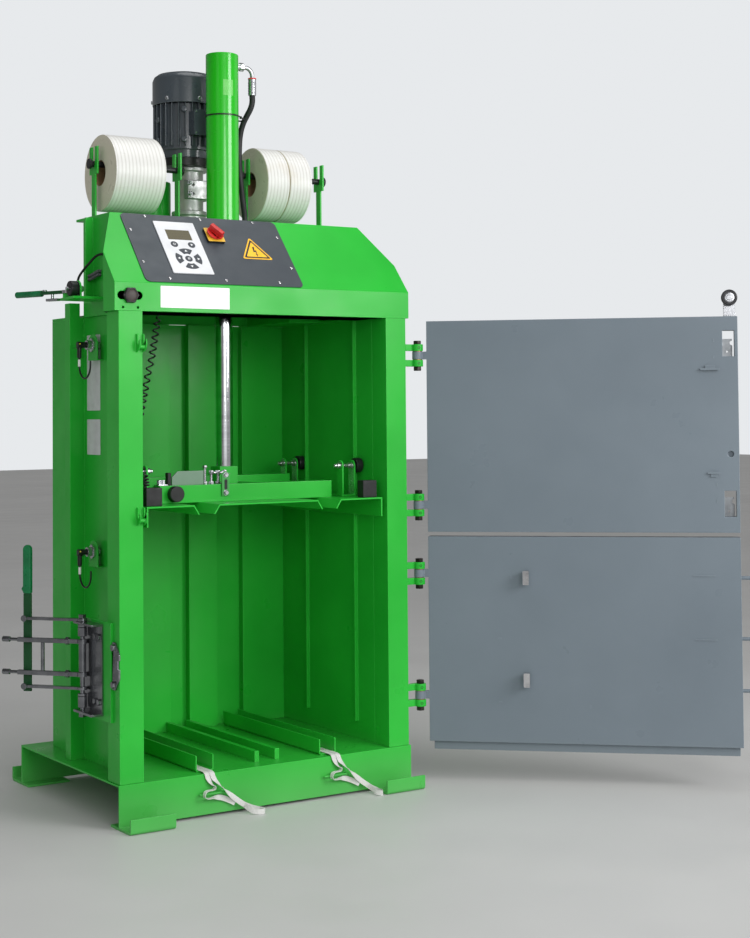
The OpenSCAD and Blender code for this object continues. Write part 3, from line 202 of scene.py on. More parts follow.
def woven_tape(name, points, wide, thick):
    """A flat tape through the points, each with its width's turn: 0 along X, 90 along Y, 180 upright.
    Gives the tape and the line down its middle."""
    line = []
    for i in range(len(points) - 1):
        before, start, end, after = (Vector(points[max(0, min(k, len(points) - 1))])
                                     for k in range(i - 1, i + 3))
        for t in (0.0, 0.25, 0.5, 0.75):
            line.append(0.5 * (2 * start + (end - before) * t
                               + (2 * before - 5 * start + 4 * end - after) * t * t
                               + (3 * start - before - 3 * end + after) * t ** 3))
    line.append(Vector(points[-1]))
    middles = [knot.xyz for knot in line]
    travelled = [0.0]
    for one, other in zip(middles, middles[1:]):
        travelled.append(travelled[-1] + (other - one).length)
    clear_selection()
    bpy.ops.mesh.primitive_grid_add(x_subdivisions=4, y_subdivisions=len(line) - 1, size=1.0)
    laid = bpy.context.object
    laid.name = name
    threads = laid.data.uv_layers.active.data
    rows = [round((corner.co.y + 0.5) * (len(line) - 1)) for corner in laid.data.vertices]
    offsets = [corner.co.x * wide for corner in laid.data.vertices]
    for loop in laid.data.loops:
        threads[loop.index].uv = (offsets[loop.vertex_index], travelled[rows[loop.vertex_index]])
    for corner, row, offset in zip(laid.data.vertices, rows, offsets):
        angle = math.radians(line[row].w)
        along = (middles[min(row + 1, len(line) - 1)] - middles[max(row - 1, 0)]).normalized()
        out = Vector((math.cos(angle), math.sin(angle), 0.0))
        if angle > math.pi / 2:
            out = Vector((0.0, math.sin(angle), -math.cos(angle)))
        out = (out - along * out.dot(along)).normalized()
        corner.co = middles[row] + out * offset
    thickness = laid.modifiers.new("thickness", "SOLIDIFY")
    thickness.thickness = thick
    thickness.offset = 0.0
    bpy.ops.object.modifier_apply(modifier=thickness.name)
    bpy.ops.object.shade_smooth_by_angle(angle=math.radians(50))
    return laid, middles, travelled[-1]


tape, tape_shader = new_finish("woven_strap", 0.55)
tape_shader.inputs["Sheen Weight"].default_value = 0.25
tape_place = add_node(tape, "TexCoord")
warp = add_node(tape, "TexWave", Scale=230.0, Distortion=0.4, bands_direction="X")
weft = add_node(tape, "TexWave", Scale=300.0, Distortion=0.8, bands_direction="Y")
woven = add_node(tape, "Math", operation="MULTIPLY")
for threads_seen, socket in ((warp, 0), (weft, 1)):
    link(tape, tape_place.outputs["UV"], threads_seen.inputs["Vector"])
    link(tape, threads_seen.outputs["Fac"], woven.inputs[socket])
soiled = shade(tape, grain(tape, 26.0, 4.0), ((0.52, grey(0.0)), (0.78, grey(0.4))))
clean = shade(tape, woven.outputs[0], ((0.0, srgb(204, 204, 201)), (0.7, srgb(243, 243, 240))))
link(tape, mixed(tape, soiled, clean, srgb(196, 190, 176)), tape_shader.inputs["Base Color"])
relief(tape, tape_shader, woven.outputs[0], 0.0003, 0.8)

skirt_y, top_z, hook_z, tape_z = -0.381, 0.131, 0.0715, 0.1361


def straight_run(x):
    return [(x, y, tape_z, 0) for y in (0.289, 0.06, -0.16, -0.32, -0.357)]


def drop_over_edge(x):
    return [(x, skirt_y + 0.008, tape_z - 0.0003, 0), (x + 0.0005, skirt_y - 0.0022, top_z + 0.0004, 0)]


def looped(x):
    """The tape that is looped round the hook."""
    return straight_run(x) + drop_over_edge(x) + [
        (x + dx, skirt_y + dy, hook_z + dz, turn) for dx, dy, dz, turn in (
            (0.003, -0.0036, 0.0495, 5), (0.009, -0.0055, 0.0375, 20), (0.017, -0.008, 0.0265, 55),
            (0.023, -0.0115, 0.021, 85), (0.02, -0.013, 0.0135, 90), (0.01, -0.015, 0.012, 90),
            (-0.005, -0.018, 0.012, 90), (-0.016, -0.024, 0.009, 90), (-0.021, -0.026, 0.0, 90),
            (-0.015, -0.024, -0.008, 90), (-0.003, -0.019, -0.0115, 90), (0.012, -0.015, -0.0125, 95),
            (0.026, -0.012, -0.0135, 125), (0.04, -0.009, -0.015, 165), (0.056, -0.008, -0.02, 180),
            (0.074, -0.009, -0.028, 180), (0.092, -0.013, -0.038, 180))]


def bowed(x, reach, fall):
    """The tape that ends in a bow on the floor."""
    return straight_run(x) + drop_over_edge(x) + [
        (x + dx + reach * share, skirt_y + dy - fall * lower, top_z + dz, turn)
        for dx, share, dy, lower, dz, turn in (
            (0.004, 0, -0.0038, 0, -0.011, 5), (0.011, 0, -0.006, 0, -0.022, 20),
            (0.022, 0, -0.015, 0, -0.036, 60), (0.034, 0, -0.02, 0, -0.05, 110),
            (0.048, 0, -0.021, 0, -0.063, 150), (0.064, 0, -0.019, 0, -0.076, 175),
            (0.082, 0, -0.018, 0, -0.09, 180), (0.1, 0, -0.022, 0, -0.103, 180),
            (0.118, 0.25, -0.028, 0, -0.112, 180), (0.136, 0.5, -0.036, 0, -0.1185, 180),
            (0.15, 1, -0.046, 0, -0.1216, 180), (0.154, 1, -0.057, 0, -0.1222, 180),
            (0.146, 1, -0.066, 1, -0.1222, 180), (0.13, 0.5, -0.067, 1, -0.122, 180),
            (0.114, 1 / 3, -0.059, 0.5, -0.119, 180), (0.102, 0, -0.047, 0, -0.11, 180),
            (0.095, 0, -0.037, 0, -0.102, 180))]


tape_width, tape_thick = 0.016, 0.0014
for tape_name, route in (
        ("strap_loop_left", looped(-0.235)), ("strap_bow_left", bowed(-0.2175, 0.0, 0.0)),
        ("strap_loop_right", looped(0.22)), ("strap_bow_right", bowed(0.2375, -0.022, 0.008))):
    strap_end, tape_line, tape_length = woven_tape(tape_name, route, tape_width, tape_thick)
    strap_end.data.materials.append(tape)
    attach(strap_end, "frame")
    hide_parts("strap_tails")


# The coiled lead carries the signal of the press plate. It is a black polyurethane cable wound
# to a springy coil, clipped under the head and to the left front corner of the press plate.
def moulded_black(name, roughness, colour=(20, 20, 22)):
    """Black plastic or rubber with a faint grain and a little dust."""
    return grained(name, colour, tuple(c + 14 for c in colour), roughness, clouds=(14.0, 4.0),
                   gloss=(60.0, 3.0, roughness - 0.08, roughness + 0.1), skin=(900.0, 1.0, 0.0001, 0.6),
                   low=0.35, high=0.75)


cable_black = moulded_black("black_cable", 0.42)
lead_top, lead_low = 1.534, 1.0043
lead_route = [Vector((-0.411 + dx, -0.333 + dy, z)) for dx, dy, z in (
    (0.07, 0.052, lead_top), (0.062, 0.05, lead_top - 0.04), (0.05, 0.041, lead_top - 0.084),
    (0.04, 0.036, lead_top - 0.13), (0.024, 0.031, lead_top - 0.182), (0.012, 0.026, lead_top - 0.23),
    (0.003, 0.024, lead_top - 0.268), (-0.007, 0.022, lead_top - 0.308), (-0.015, 0.024, lead_top - 0.35),
    (-0.017, 0.028, lead_top - 0.4), (-0.013, 0.022, lead_top - 0.45), (0.0, 0.008, lead_low + 0.034),
    (0.0, 0.0, lead_low + 0.016), (0.0, 0.0, lead_low))]
turns, steps_per_turn = 26, 14
coil_r, lead_r = 0.0088, 0.0026
coil_points = []
for step in range(turns * steps_per_turn + 1):
    along = step / (turns * steps_per_turn) * (len(lead_route) - 1)
    i = min(int(along), len(lead_route) - 2)
    middle = lead_route[i].lerp(lead_route[i + 1], along - i)
    angle = 2 * math.pi * step / steps_per_turn
    narrowed = coil_r * min(1.0, step / steps_per_turn, turns - step / steps_per_turn)
    coil_points.append(middle + Vector((math.cos(angle), math.sin(angle), 0.0)) * narrowed)
coiled_lead = laid_line("coiled_lead", coil_points, lead_r)
coiled_lead.data.materials.append(cable_black)
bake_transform(coiled_lead)
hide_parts("curly_cord")

# The hydraulic hose is rubber with a wrapped cover. It hangs from the bent tube at the cylinder's
# top and goes down through a hole in the head, to the pump.
hose_route = ((0.114, -0.071, 2.292), (0.114, -0.071, 2.27), (0.11, -0.066, 2.248), (0.104, -0.052, 2.226),
              (0.098, -0.036, 2.2), (0.094, -0.024, 2.165), (0.092, -0.02, 2.12), (0.092, -0.02, 2.07),
              (0.093, -0.024, 2.02), (0.094, -0.032, 1.97), (0.095, -0.042, 1.92), (0.095, -0.05, 1.88),
              (0.095, -0.051, 1.85), (0.095, -0.051, 1.8))
hose_rubber, hose_shader = new_finish("hose_rubber", 0.5)
hose_place = add_node(hose_rubber, "TexCoord")
hose_wrap = add_node(hose_rubber, "TexWave", Scale=70.0, Distortion=0.4, bands_direction="Z")
link(hose_rubber, hose_place.outputs["Object"], hose_wrap.inputs["Vector"])
clouded(hose_rubber, hose_shader, (19, 19, 21), (44, 45, 48), 22.0, low=0.3, high=0.75)
rough_by(hose_rubber, hose_shader, grain(hose_rubber, 80.0), 0.4, 0.6)
relief(hose_rubber, hose_shader, hose_wrap.outputs["Fac"], 0.0005, 0.5)
hydraulic_hose = laid_line("hydraulic_hose_rubber", hose_route, 0.01)
hydraulic_hose.data.materials.append(hose_rubber)
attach(hydraulic_hose, "frame")
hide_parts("hydraulic_hose")

# The door switches' cables bow from their connectors into the gap behind the post, each with a
# white marking tag. A cable and a ribbed conduit come out of the head's left side.
switch_place = (-0.512, -0.071)
switch_heights = (1.446, 0.798)
bow = 0.042
plain_plastic = grained("white_marking_sleeve", (214, 214, 212), (240, 240, 238), 0.45, clouds=(120.0, 3.0),
                        skin=(700.0, 3.0, 0.0001, 1.0), high=0.8)
conduit_grey, conduit_shader = new_finish("ribbed_conduit", 0.5)
conduit_place = add_node(conduit_grey, "TexCoord")
conduit_ribs = add_node(conduit_grey, "TexWave", Scale=95.0, bands_direction="Y")
link(conduit_grey, conduit_place.outputs["Object"], conduit_ribs.inputs["Vector"])
# The colour follows the ribs' relief: the darker troughs are painted shade and the lighter crests a painted
# highlight.
rib_shade_and_highlight = shade(conduit_grey, conduit_ribs.outputs["Fac"],
                  ((0.0, srgb(62, 64, 68)), (1.0, srgb(128, 131, 136))))
link(conduit_grey, rib_shade_and_highlight, conduit_shader.inputs["Base Color"])
relief(conduit_grey, conduit_shader, conduit_ribs.outputs["Fac"], 0.001)

cables = []
for height in switch_heights:
    x, y, z = switch_place[0], switch_place[1], height - 0.042
    arc = [(x, y + bow * (math.cos(a) - 1), z - 0.022 - bow * math.sin(a))
           for a in (math.radians(22.5 * k) for k in range(9))]
    cables.append(laid_line("switch_cable", [(x, y, z)] + arc + [(x, y - 2 * bow, z - 0.01)], 0.003))
    cables[-1].data.materials.append(cable_black)
    cables.append(laid_line("marking_tag", [(x, y, z - 0.004), (x, y, z - 0.026)], 0.0046))
    cables[-1].data.materials.append(plain_plastic)
cables.append(laid_line("head_cable", [
    (-0.4593, -0.133, 1.728), (-0.465, -0.133, 1.728), (-0.476, -0.118, 1.722), (-0.488, -0.1, 1.704),
    (-0.5, -0.08, 1.682), (-0.508, -0.066, 1.664), (-0.511, -0.06, 1.65), (-0.511, -0.06, 1.63),
    (-0.511, -0.062, 1.602)], 0.004))
cables[-1].data.materials.append(cable_black)
for lift in (0.0, -0.011):
    cables.append(laid_line("head_conduit", [
        (-0.4593, -0.118, 1.676 + lift), (-0.467, -0.118, 1.676 + lift),
        (-0.472, -0.109, 1.672 + lift), (-0.474, -0.095, 1.668 + lift),
        (-0.474, -0.075, 1.665 + lift), (-0.474, -0.0598, 1.664 + lift)], 0.0055))
    cables[-1].data.materials.append(conduit_grey)


def joined(name, parts):
    """Several meshes made into one piece of that name."""
    clear_selection()
    for part in parts:
        part.select_set(True)
    bpy.context.view_layer.objects.active = parts[0]
    if len(parts) > 1:
        bpy.ops.object.join()
    whole = bpy.context.object
    whole.name = name
    return whole


switch_cables = joined("switch_cables_bowed", cables)
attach(switch_cables, "frame")
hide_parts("switch_cables")

# The studio: a pale floor, a plain pale surround, and four soft lamps. The two large ones stand in
# front, so the fronts are bright and the left side dark. Gloss sees bright and dark walls.
clear_selection()
bpy.ops.mesh.primitive_plane_add(size=60.0, location=(0.0, 0.0, 0.0))
studio_floor = bpy.context.object
studio_floor.name = "studio_floor"
floor_finish, floor_shader = new_finish("pale_floor", 0.55)
clouded(floor_finish, floor_shader, (196, 196, 195), (204, 204, 203), 0.6, 5.0)
rough_by(floor_finish, floor_shader, grain(floor_finish, 3.0), 0.42, 0.6)
studio_floor.data.materials.append(floor_finish)

surround = bpy.data.worlds.new("surround")
surround.use_nodes = True
bpy.context.scene.world = surround
sky = surround.node_tree.nodes["Background"]
rays = add_node(surround, "LightPath")
outward = add_node(surround, "TexCoord")
compass = add_node(surround, "SeparateXYZ")
bearing = add_node(surround, "Math", operation="ARCTAN2")
around = add_node(surround, "MapRange", From_Min=-math.pi, From_Max=math.pi)
link(surround, outward.outputs["Generated"], compass.inputs["Vector"])
link(surround, compass.outputs["Y"], bearing.inputs[0])
link(surround, compass.outputs["X"], bearing.inputs[1])
link(surround, bearing.outputs[0], around.inputs["Value"])
walls = shade(surround, around.outputs["Result"], tuple((place, grey(value)) for place, value in (
    (0.0, 0.1), (0.14, 0.2), (0.19, 0.8), (0.25, 0.85), (0.29, 0.32), (0.36, 0.3), (0.43, 0.42),
    (0.46, 0.9), (0.51, 0.85), (0.55, 0.3), (0.7, 0.26), (0.84, 0.28), (1.0, 0.14))))
dim_ceiling = shade(surround, compass.outputs["Z"], ((0.12, grey(0.0)), (0.42, grey(0.78))))
room = mixed(surround, dim_ceiling, walls, grey(0.05))
toward_back = add_node(surround, "MapRange", From_Min=-1.0, From_Max=1.0)
link(surround, compass.outputs["Y"], toward_back.inputs["Value"])
fill = shade(surround, toward_back.outputs["Result"], ((0.0, grey(1.05)), (0.55, grey(0.32))))
plain_or_walls = mixed(surround, rays.outputs["Is Glossy Ray"], fill, room)
link(surround, mixed(surround, rays.outputs["Is Camera Ray"], plain_or_walls, (0.8, 0.82, 0.84, 1.0)),
     sky.inputs["Color"])

for lamp_name, lamp_place, aim, wide, power in (
        ("front_lamp", (2.3, -4.8, 2.6), (0.0, 0.0, 1.0), 2.4, 114.0),
        ("left_lamp", (-1.0, -5.2, 2.2), (-0.5, 0.0, 1.0), 1.8, 44.0),
        ("side_lamp", (-4.2, -2.6, 2.6), (-0.3, 0.0, 1.2), 2.2, 4.0),
        ("top_lamp", (0.4, -0.6, 5.0), (0.0, 0.0, 1.0), 3.0, 46.0)):
    lamp_turn = (Vector(aim) - Vector(lamp_place)).to_track_quat("-Z", "Y")
    bpy.ops.object.light_add(type="AREA", location=lamp_place, rotation=lamp_turn.to_euler())
    lamp = bpy.context.object
    lamp.name = lamp_name
    lamp.data.shape = "DISK"
    lamp.data.size = wide
    lamp.data.energy = power


# The base is folded 6 mm steel plate: a top, a front and a rear skirt, open at its ends, with four
# turned-up feet welded on for the floor anchors. All structure is powder coated bright green.
def powder_coat(name, dark, light, roughness):
    """Baked powder paint: a fine orange peel, clouded gloss, a painted highlight along the edges and a little
    floor dust.
    """
    finish, shader = new_finish(name, roughness)
    tone = shade(finish, grain(finish, 2.6, 4.0), ((0.3, srgb(*dark)), (0.72, srgb(*light))))
    # Where the bevel's normal turns away from the face's, at every rounded edge, the paint is lightened: a
    # painted highlight.
    edge = add_node(finish, "Bevel", samples=4, Radius=0.0022)
    here = add_node(finish, "NewGeometry")
    alike = add_node(finish, "VectorMath", operation="DOT_PRODUCT")
    link(finish, edge.outputs["Normal"], alike.inputs[0])
    link(finish, here.outputs["Normal"], alike.inputs[1])
    painted_edge_highlight = shade(finish, alike.outputs["Value"], ((0.86, grey(0.55)), (0.985, grey(0.0))))
    tone = mixed(finish, painted_edge_highlight, tone, srgb(*(min(255, c + 46) for c in light)))
    place = add_node(finish, "TexCoord")
    height = add_node(finish, "SeparateXYZ")
    link(finish, place.outputs["Object"], height.inputs["Vector"])
    low = shade(finish, height.outputs["Z"], ((0.0, grey(0.22)), (0.16, grey(0.0))))
    link(finish, mixed(finish, low, tone, srgb(150, 158, 142)), shader.inputs["Base Color"])
    rough_by(finish, shader, grain(finish, 9.0, 5.0), roughness - 0.07, roughness + 0.1)
    shader.inputs["Specular IOR Level"].default_value = 0.3
    shader.inputs["Coat Weight"].default_value = 0.09
    shader.inputs["Coat Roughness"].default_value = 0.12
    relief(finish, shader, grain(finish, 420.0, 2.0), 0.00016, 0.5)
    return finish


def eased(name, node_name, edge, finish, body="frame", angle=30.0):
    """The CAD solid as a clean mesh with its edges eased, as rolled and ground steel has them."""
    clear_selection()
    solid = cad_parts[node_name]
    piece = bpy.data.objects.new(name, solid.data.copy())
    bpy.context.collection.objects.link(piece)
    piece.matrix_world = solid.matrix_world
    bpy.context.view_layer.objects.active = piece
    piece.select_set(True)
    bpy.ops.object.mode_set(mode="EDIT")
    bpy.ops.mesh.select_all(action="SELECT")
    bpy.ops.mesh.remove_doubles(threshold=0.00002)
    bpy.ops.mesh.dissolve_limited(angle_limit=math.radians(0.6))
    bpy.ops.object.mode_set(mode="OBJECT")
    if edge:
        rounding = piece.modifiers.new("eased_edges", "BEVEL")
        rounding.width = edge
        rounding.segments = 2
        rounding.limit_method = "ANGLE"
        rounding.angle_limit = math.radians(angle)
        rounding.use_clamp_overlap = False
        bpy.ops.object.modifier_apply(modifier=rounding.name)
    bpy.ops.object.shade_smooth_by_angle(angle=math.radians(28))
    even = piece.modifiers.new("flat_faces_stay_flat", "WEIGHTED_NORMAL")
    even.keep_sharp = True
    bpy.ops.object.modifier_apply(modifier=even.name)
    piece.data.materials.clear()
    piece.data.materials.append(finish)
    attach(piece, body)
    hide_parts(node_name)
    return piece


green_coat = powder_coat("green_powder_coat", (29, 168, 45), (43, 188, 57), 0.34)
eased("base_plate_and_feet", "base_frame", 0.0016, green_coat)
eased("strap_floor_channels", "floor_channels", 0.001, green_coat)

# The posts are hollow box sections with notched catches welded on for the upper door. The side
# walls are plate, each with an upright rib outside and two guide bars inside.
eased("door_posts_and_catches", "front_posts", 0.0022, green_coat)
eased("chamber_side_walls", "side_walls", 0.0012, green_coat)
eased("recessed_rear_wall", "rear_wall", 0.0014, green_coat)

# The head is a welded frame of 8 mm plate with two box beams across it, which take the cylinder's
# thrust. It stands on the side walls, and the motor and the strap rolls stand on its top plate.
eased("head_frame_plates", "head_frame", 0.0014, green_coat)

# The hood is 3 mm sheet folded over the front of the head: an upright lip, then a slope for the
# panel, then drawn-in cheeks. A slotted hole in its lip takes a black bolt with a domed head.
eased("folded_hood", "hood", 0.0016, green_coat)
bolt_black = moulded_black("bolt_black", 0.38, (30, 28, 30))
eased("slot_bolt_hexagon", "slot_bolt", 0.0014, bolt_black, "slot_bolt")


def turned(name, rings, place, finish, body, sides=32, angle=28.0):
    """A round piece drawn up ring by ring, each (radius, height), then put in its place."""
    clear_selection()
    first_radius, first_height = rings[0]
    bpy.ops.mesh.primitive_circle_add(vertices=sides, radius=first_radius, fill_type="NGON",
                                      location=(0, 0, first_height))
    piece = bpy.context.object
    bpy.ops.object.mode_set(mode="EDIT")
    bpy.ops.mesh.select_all(action="SELECT")
    for (radius, height), (wider, higher) in zip(rings, rings[1:]):
        bpy.ops.mesh.extrude_region_move(TRANSFORM_OT_translate={"value": (0, 0, higher - height)})
        bpy.ops.transform.resize(value=(wider / radius, wider / radius, 1), center_override=(0, 0, higher))
    bpy.ops.mesh.select_all(action="SELECT")
    bpy.ops.mesh.normals_make_consistent(inside=False)
    bpy.ops.object.mode_set(mode="OBJECT")
    piece.name = name
    return settled(piece, place, finish, body, angle)


def settled(piece, place, finish, body, angle=28.0):
    """Puts a new piece's place into its mesh, smooths it by angle and gives it its material."""
    clear_selection()
    piece.matrix_world = place @ piece.matrix_world
    bpy.context.view_layer.objects.active = piece
    piece.select_set(True)
    bpy.ops.object.transform_apply(location=True, rotation=True, scale=True)
    bpy.ops.object.shade_smooth_by_angle(angle=math.radians(angle))
    piece.data.materials.clear()
    piece.data.materials.append(finish)
    if body:
        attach(piece, body)
    return piece


def facing(place, direction, turn=0.0):
    """The matrix that stands a piece drawn along Z at a place, pointing along a direction."""
    aim = Vector(direction).to_track_quat("Z", "Y").to_matrix().to_4x4()
    return Matrix.Translation(place) @ aim @ tipped(turn, "Z")


cap_brown = moulded_black("knob_cap_brown", 0.5, (66, 59, 56))
knob_middle = (-0.482, -0.387, 1.584)
knob_face = facing(knob_middle, (0, -1, 0))
turned("slot_bolt_ring", ((0.0215, 0.0), (0.0215, 0.0016), (0.02, 0.0026), (0.0188, 0.0026),
                          (0.0184, 0.0004)), knob_face, bolt_black, "slot_bolt", 40)
turned("slot_bolt_cap", ((0.0182, 0.0), (0.018, 0.0012), (0.015, 0.003), (0.0095, 0.0042),
                         (0.003, 0.0046)), knob_face, cap_brown, "slot_bolt", 40)

# The control panel is a steel plate with a dark grey textured foil, held on the slope by ten
# button-head screws of polished stainless steel.
slope_angle = math.atan2(0.232, 0.1955)
slope = at(0, -0.377, 1.624) @ tipped(math.degrees(slope_angle), "X")
foil = grained("panel_foil", (57, 64, 71), (63, 70, 77), 0.42, clouds=(5.0, 5.0),
               gloss=(24.0, 4.0, 0.36, 0.5), skin=(1300.0, 1.0, 0.00012, 0.7))
eased("control_panel_foil", "control_panel", 0.0007, foil)


def bright_metal(name, dark, light, roughness, metallic=0.92):
    """Plated or polished metal with clouded tone and fine drawing marks."""
    return grained(name, dark, light, roughness, metallic, clouds=(30.0, 4.0),
                   gloss=(90.0, 3.0, roughness - 0.03, roughness + 0.05), skin=(700.0, 2.0, 0.00001, 0.4),
                   low=0.32)


stainless = bright_metal("stainless_steel", (196, 196, 198), (232, 232, 234), 0.22)
panel_left, panel_low, panel_w, panel_up = -0.428, 0.003, 0.556, 0.2974
edge, top_row = 0.016, panel_up - 0.01
screw_rings = ((0.0056, 0.0), (0.0056, 0.0006), (0.0052, 0.0018), (0.004, 0.0028), (0.0022, 0.0032),
               (0.002, 0.0032), (0.0019, 0.0014))
screw_places = [(across_x, row) for row in (edge, top_row) for across_x in (0.084, 0.279, 0.471)]
screw_places += [(column, up_s) for column in (edge, panel_w - edge) for up_s in (0.084, 0.223)]
screw_parts = [
    turned("panel_screw", screw_rings,
           slope @ at(panel_left + across_x, panel_low + up_s, 0.003), stainless, None, 18)
    for across_x, up_s in screw_places]
panel_screws = joined("panel_button_screws", screw_parts)
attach(panel_screws, "frame")
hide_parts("panel_screws")

# The keypad is a pale moulded housing with a dark liquid-crystal window and seven rubber keys
# printed with white marks.
keypad_pale = grained("keypad_plastic", (212, 214, 217), (226, 228, 231), 0.4, clouds=(16.0, 4.0),
                      gloss=(70.0, 3.0, 0.34, 0.48), skin=(1500.0, 1.0, 0.00008, 0.6))
eased("keypad_housing_moulding", "keypad_housing", 0.0007, keypad_pale)

display_glass, display_shader = new_finish("display_window", 0.3)
display_shader.inputs["Specular IOR Level"].default_value = 0.3
display_place = add_node(display_glass, "TexCoord")
display_turn = add_node(display_glass, "Mapping", Rotation=(-slope_angle, 0, 0))
cells = add_node(display_glass, "TexBrick", offset=0.0, Scale=1.0, Mortar_Size=0.0007,
                 Brick_Width=0.0052, Row_Height=0.0105)
link(display_glass, display_place.outputs["Object"], display_turn.inputs["Vector"])
link(display_glass, display_turn.outputs["Vector"], cells.inputs["Vector"])
cells.inputs["Color1"].default_value = srgb(80, 74, 50)
cells.inputs["Color2"].default_value = srgb(83, 77, 52)
cells.inputs["Mortar"].default_value = srgb(90, 84, 58)
link(display_glass, cells.outputs["Color"], display_shader.inputs["Base Color"])
eased("display_pane", "keypad_display", 0.0003, display_glass)

key_slate = grained("key_rubber", (52, 58, 66), (62, 68, 76), 0.46, clouds=(40.0, 3.0),
                    skin=(1400.0, 1.0, 0.00008, 0.6))
white_print = grained("white_print", (222, 224, 226), (240, 241, 242), 0.5, clouds=(300.0, 3.0))
keypad = slope @ at(-0.325, 0.041, 0.003)
for key_name, mark_x, mark_s, sides, size, turn in (
        ("key_upper_left", 0.043, 0.126, 16, 0.0045, 0), ("key_upper_right", 0.103, 0.126, 3, 0.0055, -90),
        ("key_centre", 0.073, 0.064, 4, 0.005, 45), ("key_right", 0.106, 0.064, 3, 0.0056, -90),
        ("key_top", 0.073, 0.097, 3, 0.0056, 0), ("key_left", 0.04, 0.064, 3, 0.0056, 90),
        ("key_bottom", 0.073, 0.031, 3, 0.0056, 180)):
    eased(key_name + "_cap", key_name, 0.0005, key_slate, key_name)
    clear_selection()
    bpy.ops.mesh.primitive_circle_add(vertices=sides, radius=size, fill_type="NGON")
    mark = bpy.context.object
    bpy.ops.object.mode_set(mode="EDIT")
    bpy.ops.mesh.select_all(action="SELECT")
    bpy.ops.mesh.inset(thickness=size * 0.32)
    if sides > 3:
        bpy.ops.mesh.delete(type="FACE")
        bpy.ops.mesh.select_all(action="SELECT")
    bpy.ops.mesh.extrude_region_move(TRANSFORM_OT_translate={"value": (0, 0, 0.0002)})
    bpy.ops.mesh.select_all(action="SELECT")
    bpy.ops.mesh.normals_make_consistent(inside=False)
    bpy.ops.object.mode_set(mode="OBJECT")
    mark.name = key_name + "_mark"
    mark_place = at(mark_x, mark_s, 0.00482) @ tipped(turn, "Z")
    settled(mark, keypad @ mark_place, white_print, key_name)

# The main switch is a rotary isolator: a black box with a yellow face plate and ring, and a red
# handle that turns a quarter circle.
black_plastic = moulded_black("black_plastic", 0.4)


def coloured_plastic(name, dark, light, roughness):
    """Moulded or printed colour with a faint grain."""
    return grained(name, dark, light, roughness, gloss=(110.0, 3.0, roughness - 0.06, roughness + 0.1),
                   skin=(1300.0, 1.0, 0.00008, 0.6))


def repaint(piece, finish, test):
    """Gives a second material to the faces whose middle passes the test."""
    piece.data.materials.append(finish)
    last = len(piece.data.materials) - 1
    for face in piece.data.polygons:
        if test(face.center):
            face.material_index = last


switch_yellow = coloured_plastic("switch_yellow", (224, 176, 48), (238, 192, 62), 0.36)
switch_red = coloured_plastic("switch_red", (188, 28, 26), (206, 38, 34), 0.3)
switch_box = eased("main_switch_box", "main_switch_base", 0.0007, black_plastic)
out_of_slope = slope.inverted()
face_start = 0.0106
repaint(switch_box, switch_yellow, lambda c: (out_of_slope @ c).z > face_start)
eased("main_switch_grip", "main_switch_handle", 0.0022, switch_red, "main_switch_handle")


# The signs' places: a bare white film on the lip, two bare plates on the side wall, and a yellow
# sign with a black edge and a lightning stroke on the panel.
def flat_shape(name, outlines, thick, place, finish, body="frame"):
    """A flat plate or print from its outlines; further outlines are holes."""
    clear_selection()
    drawn = bpy.data.curves.new(name, "CURVE")
    drawn.dimensions = "2D"
    drawn.fill_mode = "BOTH"
    drawn.extrude = thick / 2
    for outline in outlines:
        spline = drawn.splines.new("POLY")
        spline.points.add(len(outline) - 1)
        for knot, (x, y) in zip(spline.points, outline):
            knot.co = (x, y, thick / 2, 1)
        spline.use_cyclic_u = True
    piece = bpy.data.objects.new(name, drawn)
    bpy.context.collection.objects.link(piece)
    bpy.context.view_layer.objects.active = piece
    piece.select_set(True)
    bpy.ops.object.convert(target="MESH")
    return settled(bpy.context.object, place @ at(0, 0, thick / 2), finish, body)


def rounded(corners, radius, steps=6):
    """A closed outline with its corners rounded off."""
    outline = []
    for before, corner, after in zip(corners[-1:] + corners[:-1], corners, corners[1:] + corners[:1]):
        here, back, on = Vector(corner), Vector(before), Vector(after)
        into, out_of = (back - here).normalized(), (on - here).normalized()
        half = into.angle(out_of) / 2
        reach = radius / math.tan(half)
        for k in range(steps + 1):
            t = k / steps
            first, last = here + into * reach, here + out_of * reach
            outline.append(tuple(first * (1 - t) ** 2 + here * 2 * t * (1 - t) + last * t ** 2))
    return outline


def plate_outline(left, low, right, high, corner):
    """A rounded rectangle by its sides."""
    return rounded([(left, low), (right, low), (right, high), (left, high)], corner)


film_white = coloured_plastic("plain_white_film", (232, 233, 236), (244, 245, 247), 0.3)
plate_silver = coloured_plastic("plain_label_plate", (196, 198, 200), (212, 214, 216), 0.34)
sign_yellow = coloured_plastic("sign_yellow", (244, 184, 14), (252, 196, 28), 0.34)
sign_black = coloured_plastic("sign_black", (22, 22, 24), (34, 34, 36), 0.4)
upright_front = at(0, -0.377, 0) @ tipped(90, "X")
flat_shape("lip_label_film", [plate_outline(-0.381, 1.55, -0.144, 1.616, 0.002)],
           0.0004, upright_front, film_white)
on_wall = at(-0.445, 0, 0) @ Matrix(((0, 0, -1), (-1, 0, 0), (0, 1, 0))).to_4x4()
wall_plates = [flat_shape("wall_label_plate", [plate_outline(-0.019, low, 0.081, high, 0.004)],
                          0.0008, on_wall, plate_silver, None)
               for low, high in ((1.24, 1.48), (1.1, 1.212))]
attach(joined("wall_label_plates", wall_plates), "frame")
sign = slope @ at(0.003, 0.121, 0.003)
triangle = [(-0.056, 0.0), (0.056, 0.0), (0.0, 0.098)]
middle = Vector((0.0, 0.0327))


def shrunk(corners, share):
    return [tuple(middle + (Vector(c) - middle) * share) for c in corners]


